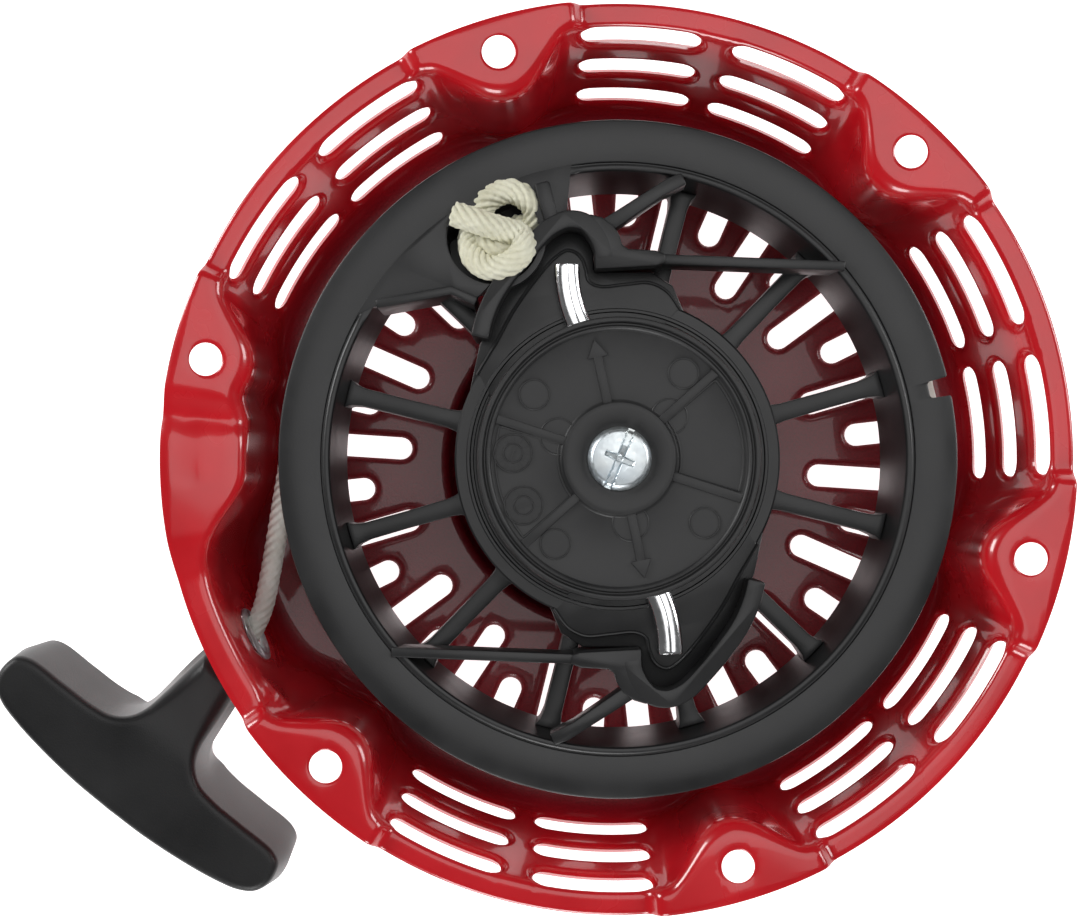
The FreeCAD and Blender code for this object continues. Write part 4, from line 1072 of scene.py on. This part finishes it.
def reel_rim():
    top, low = REEL_TOP, REEL_BOTTOM
    profile = [
        (72.7, low + 0.4), (73.1, low), (87.3, low), (87.7, low + 0.4), (87.7, low + 2.6),
        (87.3, low + 3), (76, low + 3), (76, top - 3), (87.3, top - 3), (87.7, top - 2.6),
        (87.7, top - 0.7), (87.5, top - 0.2), (87.0, top), (83, top), (77.0, top), (76.75, top - 0.1),
        (76.6, top - 0.75), (76.25, top - 0.75), (76.1, top + 0.1), (75.8, top + 0.35),
        (75.2, top + 0.42), (74.7, top + 0.25), (74.4, top - 0.2), (74.35, top - 0.8), (74.1, top - 3),
    ]
    return smooth_by_angle(lathe("reel_rim", profile, MATERIALS["black_plastic"], shape=RimShape()), 32)


def reel_hub():
    profile = [
        (8.06, -52.0), (12, -52.0), (12, -9), (39.8, -9), (39.8, -53), (42.3, -53), (42.3, DECK - 0.5),
        (41.8, DECK), (39.3, DECK), (39.0, DECK + 0.55), (38.4, DECK + 0.55), (38.1, DECK), (37.5, DECK),
        (37.3, DECK - 0.6), (36.8, DECK - 0.6), (36.6, DECK), (8.06, DECK),
    ]
    return smooth_by_angle(lathe("reel_hub", profile, MATERIALS["black_plastic"], 180), 30)


def slab(name, outline, low, high, width=0.5, segments=2):
    """Upright plastic wall or plate with eased edges."""
    return bevel(prism(name, outline, low, high, MATERIALS["black_plastic"]), width, segments)


def band(points, width):
    """Outline of a band of equal width along a line in the plane."""
    left, right = [], []
    for index, point in enumerate(points):
        ahead = points[min(index + 1, len(points) - 1)] - points[max(index - 1, 0)]
        side = Vector((-ahead.y, ahead.x)).normalized() * width / 2
        left.append(point.xy + side)
        right.append(point.xy - side)
    return left + right[::-1]


def guard_and_walls():
    """One side's guard, stop block, fence, slanted rib and the deck they stand on."""
    black = MATERIALS["black_plastic"]
    line = curve_through(
        [(-35.6, 31.2), (-34.3, 36.5), (-31.6, 42.6), (-27.2, 49.0), (-22.6, 54.6), (-17.6, 59.6),
         (-13.0, 61.6), (-8.6, 60.9), (-5.6, 57.8), (-4.0, 54.4), (-3.4, 51.4)], 0.9)
    guard = slab("guard", band(line, 4.6), GUARD_LOW, 0.0, 0.55)
    foot = slab("guard_foot", band(line[:8], 4.0), GUARD_LOW - 8, -3.0)
    block = [
        (-5.9, 48.8), (9.8, 49.6), (12.2, 50.3), (12.2, 52.6), (9.6, 53.6), (2.6, 54.0), (1.0, 55.0),
        (0.4, 57.4), (-1.2, 60.0), (-4.0, 62.0), (-7.4, 63.0), (-8.6, 60.4), (-6.6, 57.2), (-6.0, 53.0),
    ]
    stop = slab("stop_block", block, GUARD_LOW, -0.06)
    fence = slab("fence", [(11, 50.1), (58.2, 48.3), (58.5, 50.9), (11, 52.7)], -10.5, -0.4, 0.45)
    leaning = [(-4.0, 61.6), (-1.6, 58.6), (11.6, 67.6), (17.6, 70.6), (16.2, 73.6), (12.6, 72.2)]
    slant = slab("slant", leaning, -8.0, -0.4, 0.45)
    under_tip = [
        (-38.4, 18.0), (-35.9, 30), (-33.0, 36), (-25.5, 50.2), (-14.5, 60.5), (-6.5, 58.5), (-5.9, 49),
        (9.0, 49), (14.6, 45.4), (18.0, 37.5), (0, 20),
    ]
    deck = slab("tip_deck", under_tip, DECK - 5, DECK - 2.2)
    inner_line = curve_through(
        [(-36.5, 22.0), (-31.5, 30.5), (-27.2, 38.4), (-21.4, 46.6), (-16.4, 52.3), (-12.9, 54.4),
         (-9.8, 53.0), (-8.2, 49.6), (-7.4, 46.3), (-4.6, 45.0), (2.0, 45.5), (8.4, 45.9), (13.0, 43.6),
         (16.5, 38.8)], 1.0)
    outline = [point.xy for point in inner_line]
    outline += [Vector(point) for point in ((12, 34), (0, 30), (-20, 24), (-32, 14))]
    raised = slab("raised_deck", outline, DECK - 4.5, DECK + 0.04, 0.7, 3)
    lip = [point.to_3d() for point in outline[: len(inner_line)]]
    rim_wire, rim_faces = tube(
        [Vector((point.x, point.y, DECK - 0.15)) for point in lip],
        lambda index: [(0.42 * math.cos(0.785 * s), 0.42 * math.sin(0.785 * s)) for s in range(8)])
    wire = clean(new_object("deck_lip", rim_wire, rim_faces, black))
    return [guard, foot, stop, fence, slant, deck, raised, wire]


def spokes():
    """Twelve radial spokes, each a little waisted and filleted into the hub and the rim."""
    made = []
    for index in range(12):
        angle = 16 + 30 * index
        rows = [(41.5, 3.6), (43.5, 2.75), (46, 2.4), (58, 2.3), (69, 2.4), (71.6, 2.9), (73.4, 3.9)]
        outline = rows + [(radius, -half) for radius, half in reversed(rows)]
        spoke = prism("spoke", outline, -24, -14, MATERIALS["black_plastic"])
        spoke.data.transform(Matrix.Rotation(math.radians(angle), 4, "Z"))
        made.append(bevel(spoke, 0.5, 2, 40))
    return made


def knot_corner():
    """Solid web of the rim beside the knot, with the round pocket that holds the knot."""
    black = MATERIALS["black_plastic"]
    rim_side = [tuple(polar_point(76.9, angle).xy) for angle in range(99, 153, 2)]
    inner = [
        (-60.6, 40.2), (-42.5, 43.8), (-37.0, 41.0), (-33.0, 45.0), (-27.6, 50.5), (-17.0, 61.0), (-13.2, 64.0),
    ]
    outline = rim_side + inner
    plate = prism("knot_plate", outline, REEL_TOP - 3.2, REEL_TOP, black, hole=(KNOT_AT.x, KNOT_AT.y, 12.3))
    bevel(plate, 0.5, 2)
    ring = [(12.1, -20), (13.6, -20), (13.6, REEL_TOP - 1), (12.1, REEL_TOP - 1)]
    sleeve = lathe("knot_sleeve", ring, black, 72)
    floor = lathe("knot_floor", [(0.4, -20), (13, -20), (13, -18.4), (0.4, -18.4)], black, 72)
    for obj in (sleeve, floor):
        obj.data.transform(Matrix.Translation((KNOT_AT.x * MM, KNOT_AT.y * MM, 0)))
    edge = [Vector(point) for point in ((-62.4, 40.0), (-43, 43.6), (-36.5, 40.6))]
    wall = slab("knot_wall", band(edge, 2.4), -20, REEL_TOP + 0.3)
    post = slab("knot_post", [(-21.6, 70.6), (-17.8, 71.6), (-15.4, 62.2), (-19.0, 61.2)], -12, -0.2)
    return [plate, sleeve, floor, wall, post]


def reel():
    one_side = guard_and_walls()
    other_side = [half_turn(part) for part in one_side]
    parts = [reel_rim(), reel_hub()] + one_side + other_side + spokes() + knot_corner()
    obj = smooth_by_angle(join("reel_body_shell", parts), 34)
    return finish(obj, "reel_body", ["reel"])


# --- Ratchets, guide and screw -----------------------------------------------


def ratchet(name, body, node, turned):
    """Bright steel lever with a rounded back and a square-cut tip."""
    line = curve_through(
        [(-13.2, 49.8), (-13.1, 46.5), (-12.5, 42.0), (-11.3, 37.6), (-9.4, 33.4), (-6.0, 28.6),
         (1.5, 24.6), (8, 23), (14, 22)], 0.8)
    half, high, low = 3.2, 2.6, -4.7
    section = [
        (-half, low), (-half, high - 1.6), (-half * 0.93, high - 0.9), (-half * 0.78, high - 0.42),
        (-half * 0.5, high - 0.12), (-0.35, high), (-0.12, high - 0.03), (0, high - 0.16),
        (0.12, high - 0.03), (0.35, high), (half * 0.5, high - 0.12), (half * 0.78, high - 0.42),
        (half * 0.93, high - 0.9), (half, high - 1.6), (half, low),
    ]
    points = []
    count = len(section)
    for index, point in enumerate(line):
        ahead = line[min(index + 1, len(line) - 1)] - line[max(index - 1, 0)]
        side = Vector((-ahead.y, ahead.x, 0)).normalized()
        points += [Vector((point.x, point.y, z)) + side * x for x, z in section]
    faces = swept_faces(len(line), count)
    faces.append(tuple(range(count)))
    faces.append(tuple(reversed(range(len(points) - count, len(points)))))
    lever = clean(new_object(name, points, faces, MATERIALS["bright_steel"]))
    bevel(lever, 0.3, 2, 60)
    steel = MATERIALS["bright_steel"]
    pin = lathe("pin", [(0.01, -15.2), (2.6, -15.2), (3.0, -14.8), (3.0, -4.6), (0.01, -4.6)], steel, 48)
    pin.data.transform(Matrix.Translation((14 * MM, 22 * MM, 0)))
    stub = lathe("stub", [(0.01, 2.5), (2.0, 2.5), (2.0, 3.6), (1.7, 3.9), (0.01, 3.9)], steel, 48)
    stub.data.transform(Matrix.Translation((1.5 * MM, 24.6 * MM, 0)))
    obj = join(name, [lever, pin, stub])
    if turned:
        obj.data.transform(Matrix.Rotation(math.pi, 4, "Z"))
    return finish(smooth_by_angle(obj, 45), body, [node])


def disc_mark(x, y, radius, base, height):
    """Round ejector mark: a fine raised ring with a slightly sunk middle."""
    profile = [
        (0.01, base - 0.4), (radius, base - 0.4), (radius, base + height * 0.7),
        (radius - 0.12, base + height), (radius - 0.3, base + height),
        (radius - 0.42, base + height * 0.3), (0.01, base + height * 0.3),
    ]
    mark = lathe("mark", profile, MATERIALS["guide_plastic"], 40)
    mark.data.transform(Matrix.Translation((x * MM, y * MM, 0)))
    return mark


def guide_rib(angle, start, end, arrow=False):
    """Low double-edged rib along a radius, with an arrow head if asked."""
    guide = MATERIALS["guide_plastic"]
    bar = [(start, -1.15), (end, -1.15), (end, 1.15), (start, 1.15)]
    parts = [bevel(prism("rib", bar, 4.9, 5.75, guide), 0.25, 2)]
    if arrow:
        head = [(end - 0.3, -2.7), (end + 4.4, 0), (end - 0.3, 2.7)]
        parts.append(bevel(prism("arrow", head, 4.9, 5.8, guide), 0.25, 2))
    for part in parts:
        part.data.transform(Matrix.Rotation(math.radians(angle), 4, "Z"))
    return parts


def dial(angle, hand):
    """Sunk moulding dial with generic ticks and a plain pointer."""
    guide = MATERIALS["guide_plastic"]
    centre = polar_point(27, angle)
    parts = [disc_mark(centre.x, centre.y, 5.0, 5.05, 0.5), disc_mark(centre.x, centre.y, 2.6, 5.05, 0.45)]
    for tick in range(12):
        bar = prism("tick", [(3.1, -0.2), (4.3, -0.2), (4.3, 0.2), (3.1, 0.2)], 4.95, 5.5, guide)
        bar.data.transform(Matrix.Rotation(math.radians(30 * tick), 4, "Z"))
        bar.data.transform(Matrix.Translation(centre * MM))
        parts.append(bar)
    arrow = [(-1.7, -0.2), (0.6, -0.2), (0.6, -0.6), (1.8, 0), (0.6, 0.6), (0.6, 0.2), (-1.7, 0.2)]
    pointer = prism("pointer", arrow, 4.95, 5.6, guide)
    pointer.data.transform(Matrix.Rotation(math.radians(hand), 4, "Z"))
    pointer.data.transform(Matrix.Translation(centre * MM))
    return parts + [pointer]


def sector_frame(first, last):
    """Fine raised line round one field of the guide."""
    inner, outer = 15.6, 31.4
    points = [polar_point(inner, first + 4 + (last - first - 8) * index / 14) for index in range(15)]
    points += [polar_point(outer, last - 2.6 - (last - first - 5.2) * index / 26) for index in range(27)]
    loop = points + [points[0]]
    line = [Vector((point.x, point.y, 5.1)) for point in evenly(loop, 0.8)]
    section = [(0.32 * math.cos(1.047 * s), 0.32 * math.sin(1.047 * s)) for s in range(6)]
    return clean(new_object("field_line", *tube(line, lambda index: section), MATERIALS["guide_plastic"]))


def ratchet_guide():
    profile = [
        (6.06, 1.4), (14, 1.4), (14, 3.0), (35.6, 3.0), (36.0, 3.4), (36.0, 5.4), (35.75, 5.9),
        (35.3, 6.05), (34.8, 5.95), (34.5, 5.5), (34.35, 4.9), (34.0, 4.9), (33.8, 5.5), (33.5, 5.85),
        (33.1, 5.9), (32.75, 5.7), (32.5, 5.2), (32.2, 5.05), (15.2, 5.05), (14.9, 5.15), (14.6, 5.5),
        (14.2, 6.1), (13.6, 6.3), (12.8, 6.3), (9.2, 5.9), (8.8, 5.7), (6.06, 5.7),
    ]
    parts = [lathe("guide_disc", profile, MATERIALS["guide_plastic"], 180)]
    for index in range(6):
        angle = 42 + 60 * index
        arrow = angle in (102, 282)
        parts += guide_rib(angle, 14, 26.5 if arrow else 32.6, arrow)
    for index in range(4):
        spot = polar_point(27, 53 + 90 * index)
        parts.append(disc_mark(spot.x, spot.y, 4.0, 5.05, 0.42))
    for angle in (40, 160, 280):
        spot = polar_point(16.5, angle)
        parts.append(disc_mark(spot.x, spot.y, 4.75, 5.05, 0.3))
    parts += dial(177, 70) + dial(206, 200)
    parts += [sector_frame(162, 222), sector_frame(-18, 42)]
    obj = smooth_by_angle(join("guide_plate", parts), 34)
    return finish(obj, "guide_body", ["ratchet_guide"])


def screw_height(x, y):
    """Height of the pan head with its straight slot crossed by a Phillips socket."""
    radius = math.hypot(x, y)
    dome = 8.6 - 0.9 * (radius / 8.1) ** 2 - 1.3 * max(0.0, (radius - 6.6) / 1.5) ** 2
    turn = math.radians(67)
    along, across = x * math.cos(turn) + y * math.sin(turn), -x * math.sin(turn) + y * math.cos(turn)
    slot = smooth_step((1.0 - abs(across)) / 0.25) * 1.15
    socket = 0.0
    for u, v in ((along, across), (across, along)):
        width = 0.95 - 0.06 * abs(u)
        deep = max(0.0, 2.3 - 0.32 * abs(u))
        socket = max(socket, smooth_step((width - abs(v)) / 0.22) * smooth_step((4.0 - abs(u)) / 0.3) * deep)
    return dome - max(slot, socket)


def smooth_step(value):
    value = max(0.0, min(1.0, value))
    return value * value * (3 - 2 * value)


def setting_screw():
    """Pan head screw that holds the guide."""
    rings, sides = 54, 120
    head_radius, under_head = 8.1, 6.0
    points, faces = [], []
    for ring in range(rings + 1):
        radius = head_radius * ring / rings
        for side in range(sides):
            spot = polar_point(radius, 360 * side / sides)
            points.append(Vector((spot.x, spot.y, screw_height(spot.x, spot.y))))
    points += [polar_point(head_radius, 360 * side / sides, under_head) for side in range(sides)]
    for ring in range(rings + 1):
        for side in range(sides):
            after = (side + 1) % sides
            a, b = ring * sides, (ring + 1) * sides
            faces.append((a + side, b + side, b + after, a + after))
    points.append(Vector((0, 0, under_head)))
    last = (rings + 1) * sides
    faces += [(last + side, len(points) - 1, last + (side + 1) % sides) for side in range(sides)]
    head = clean(new_object("screw_head", points, faces, MATERIALS["zinc_steel"]), 0.005)
    rod = [(0.01, -10), (2.6, -10), (3.0, -9.6), (3.0, 6.1), (0.01, 6.1)]
    shank = lathe("shank", rod, MATERIALS["zinc_steel"], 48)
    obj = smooth_by_angle(join("screw", [head, shank]), 60)
    return finish(obj, "housing", ["setting_screw"])


# --- Rope --------------------------------------------------------------------


def rope_lead():
    """Rope from the winding through the eyelet to its knot in the grip."""
    corners = [
        Vector((-83.5, 18.6, -14.5)), Vector((-87.0, 0.5, -16.8)), Vector((-92.0, -25.5, -21.5)),
        EXIT - PULL * 5, EXIT + PULL * (GRIP_END - POCKET_DEPTH + 2),
    ]
    obj = braided_rope("rope_line", arc_route(corners, 0.7), MATERIALS["rope_grey"], 2.85)
    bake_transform(obj)
    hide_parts("rope_lead", "rope_tail")
    return obj


def rope_winding():
    """Three turns side by side at the bottom of the groove, and most of a fourth on top of them."""
    line = []
    end, whole, part = 167.4, 3 * 360, 330
    inner, climb_start, rise_start = 79.0, whole - 30, whole + part - 60
    first = end - part - whole
    for index in range(0, whole + part + 1, 2):
        angle = first + index
        turns = index / 360
        row = min(2, int(turns))
        cross = smooth_step((turns - row - 0.9) / 0.1) if row < 2 else 0.0
        z = -20 + 6 * (row + cross)
        radius = inner
        if index > climb_start:
            climb = smooth_step((index - climb_start) / 60)
            radius, z = inner + 5.4 * climb, -8 - 8.5 * climb
        if index > rise_start:
            z += 2.0 * smooth_step((index - rise_start) / 60)
        line.append(polar_point(radius, angle, z))
    obj = braided_rope("rope_turns", evenly(line, 2.4), MATERIALS["rope_grey"], 2.95, 28, 19.0, 7, 0.45)
    return finish(obj, "reel_body", ["rope_winding"])


def reel_knot():
    """Overhand knot that holds the rope's end in its pocket."""
    runs = (
        [(-22.8, 55.0, -15), (-21.4, 60.6, -8), (-22.2, 66.0, -4.4), (-27.4, 69.2, -2.8),
         (-33.2, 67.4, -3.4), (-36.4, 62.8, -5.6), (-38.2, 57.2, -5.4), (-37.2, 52.2, -3.4),
         (-33.0, 49.2, -1.2), (-27.8, 50.2, 0.0), (-24.4, 53.8, 0.0), (-25.2, 57.6, -1.6),
         (-29.2, 58.9, -0.6), (-33.6, 59.9, 1.0), (-38.0, 61.4, 1.2), (-42.0, 62.8, 0.2)],
        [(-37.0, 60.2, -7.0), (-33.8, 55.6, -4.4), (-29.8, 54.2, -3.6), (-26.6, 57.0, -5.4),
         (-24.8, 62.0, -9.0)],
    )
    parts = [
        braided_rope("knot_run", curve_through(run, 0.45), MATERIALS["rope_cream"], 3.4, 64, 20.0, 8, 0.75)
        for run in runs
    ]
    return finish(join("knot_in_reel", parts), "reel_body", ["reel_knot"])


def grip_knot():
    """Small tight knot seated in the pocket of the grip."""
    line = []
    for index in range(121):
        turn = 2 * math.pi * index / 120 * 0.94 + 0.3
        x = (math.sin(turn) + 2 * math.sin(2 * turn)) * 1.55
        y = (math.cos(turn) - 2 * math.cos(2 * turn)) * 1.55
        z = -math.sin(3 * turn) * 2.2
        line.append(Vector((x, y, z)))
    obj = braided_rope("knot_in_grip", evenly(line, 0.6), MATERIALS["rope_cream"], 2.3, 32, 16.0, 7, 0.4)
    obj.data.transform(exit_frame(PULL, GRIP_END - POCKET_DEPTH + 4.9))
    return finish(obj, "grip_body", ["grip_knot"])


# --- Grip and eyelet ---------------------------------------------------------


def exit_frame(direction, distance=0.0):
    """Frame whose Z runs in a level direction and whose Y is up, at a distance from the rope exit."""
    side = Vector((0, 0, 1)).cross(direction)
    turn = Matrix((side, Vector((0, 0, 1)), direction)).transposed().to_4x4()
    return Matrix.Translation((EXIT + direction * distance) * MM) @ turn


def rope_eyelet():
    """Rolled steel eyelet in the wall, with a rolled inner lip."""
    profile = [
        (5.25, -2.0), (5.25, 2.0), (5.6, 2.45), (6.4, 2.6), (7.4, 2.35), (7.9, 1.7), (7.5, 1.45),
        (6.6, 1.6), (5.9, 1.2), (5.9, -1.4), (6.6, -1.75), (7.5, -1.6), (7.9, -1.9), (7.4, -2.5),
        (6.4, -2.75), (5.6, -2.55),
    ]
    obj = lathe("eyelet_ring", profile, MATERIALS["zinc_steel"], 96)
    obj.data.transform(exit_frame(OUTWARD))
    return finish(smooth_by_angle(obj, 60), "housing", ["rope_eyelet"])


def grip_outline():
    """Half of the T at mid-height as (side, distance), then its mirror image."""
    half = [
        (0, 58.4), (12, 58.1), (24, 57.0), (34, 55.4), (40.5, 53.6), (44.6, 51.0), (46.6, 47.4),
        (46.8, 43.4), (45.4, 39.4), (41.5, 37.2), (30, 36.8), (21, 36.6), (15.5, 35.6), (12.0, 33.0),
        (10.2, 29.4), (9.4, 24), (8.8, 18), (8.0, 12), (7.4, 9.6), (5.6, 8.6), (0, 8.4),
    ]
    loop = half + [(-u, v) for u, v in reversed(half[1:-1])]
    return curve_through([(u, v, 0) for u, v in loop + loop[:1]], 0.9)[:-1]


def grip_height(distance, gap):
    """Half height of the grip at a distance from the rope exit and a gap inside its edge."""
    tall = 7.2 + 5.2 * smooth_step((distance - 12) / 24)
    edge = 2.0 + 2.6 * (1 - smooth_step((distance - 16) / 20))
    draft = 1.3
    if gap < draft:
        return (tall - edge) * gap / draft
    left = max(0.0, edge - (gap - draft))
    return tall - edge + math.sqrt(edge**2 - left**2)


def starter_grip():
    """T-shaped handle with drafted sides, rounded edges and its two bores."""
    outline = grip_outline()
    count = len(outline)
    border = [point.xy for point in outline]
    normals = []
    for index in range(count):
        ahead = outline[(index + 1) % count] - outline[index - 1]
        normals.append(Vector((-ahead.y, ahead.x)).normalized())
    inwards = 1 if (Vector((0, 45)) - border[0]).dot(normals[0]) > 0 else -1
    flat = []
    for gap in (0.0, 1.3, 1.4, 1.65, 2.05, 2.6, 3.3, 4.2, 5.4):
        flat += [point + normal * inwards * gap for point, normal in zip(border, normals)]
    edges = ring_edges(0, count)
    for row in range(-15, 16):
        for column in range(4, 23):
            spot = Vector((row * 2.9, column * 2.9))
            if inside(spot, border) and min((spot - point).length for point in border) > 6.6:
                flat.append(spot)
    corners, _, triangles, *_ = delaunay_2d_cdt(flat, edges, [], 1, 1e-5)
    points, faces = [], []
    for sign in (1, -1):
        for corner in corners:
            gap = min((corner - point).length for point in border)
            height = sign * grip_height(corner.y, gap)
            flare = smooth_step((50 - corner.y) / 12) * smooth_step((abs(corner.x) - 9) / 7)
            points.append(Vector((corner.x, height, corner.y - 0.25 * flare * max(0.0, -height))))
    size = len(corners)
    for triangle in triangles:
        middle = middle_of(corners, triangle)
        if inside(middle, border):
            faces.append(tuple(triangle))
            faces.append(tuple(size + index for index in reversed(triangle)))
    obj = clean(new_object("t_grip", points, faces, MATERIALS["grip_plastic"]), 0.001)
    pocket = GRIP_END - POCKET_DEPTH - 1.5
    bores = [
        lathe("bore", [(0.01, 0), (3.5, 0), (3.5, 75), (0.01, 75)], MATERIALS["grip_plastic"], 48),
        lathe("pocket", [(0.01, pocket), (8, pocket), (8, 75), (0.01, 75)], MATERIALS["grip_plastic"], 64),
    ]
    for bore in bores:
        modify(obj, "BOOLEAN", object=bore, operation="DIFFERENCE", solver="EXACT")
        bake_modifiers(obj)
        bpy.data.objects.remove(bore)
    obj.data.transform(exit_frame(PULL))
    return finish(smooth_by_angle(obj, 38), "grip_body", ["starter_grip"])


def carry_over():
    """Materials of the CAD nodes that are shown as they are."""
    shown = {
        "spring_steel": ("recoil_spring", "friction_spring", "ratchet_spring_top", "ratchet_spring_bottom"),
        "zinc_steel": ("centre_post", "reel_washer", "grip_insert"),
    }
    for slot, names in shown.items():
        for name in names:
            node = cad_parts[name]
            node.data.materials.clear()
            node.data.materials.append(MATERIALS[slot])


starter_case()
reel()
ratchet("pawl_top", "top_ratchet_body", "ratchet_top", False)
ratchet("pawl_bottom", "bottom_ratchet_body", "ratchet_bottom", True)
ratchet_guide()
setting_screw()
rope_lead()
rope_winding()
reel_knot()
grip_knot()
rope_eyelet()
starter_grip()
carry_over()
stage_and_camera()
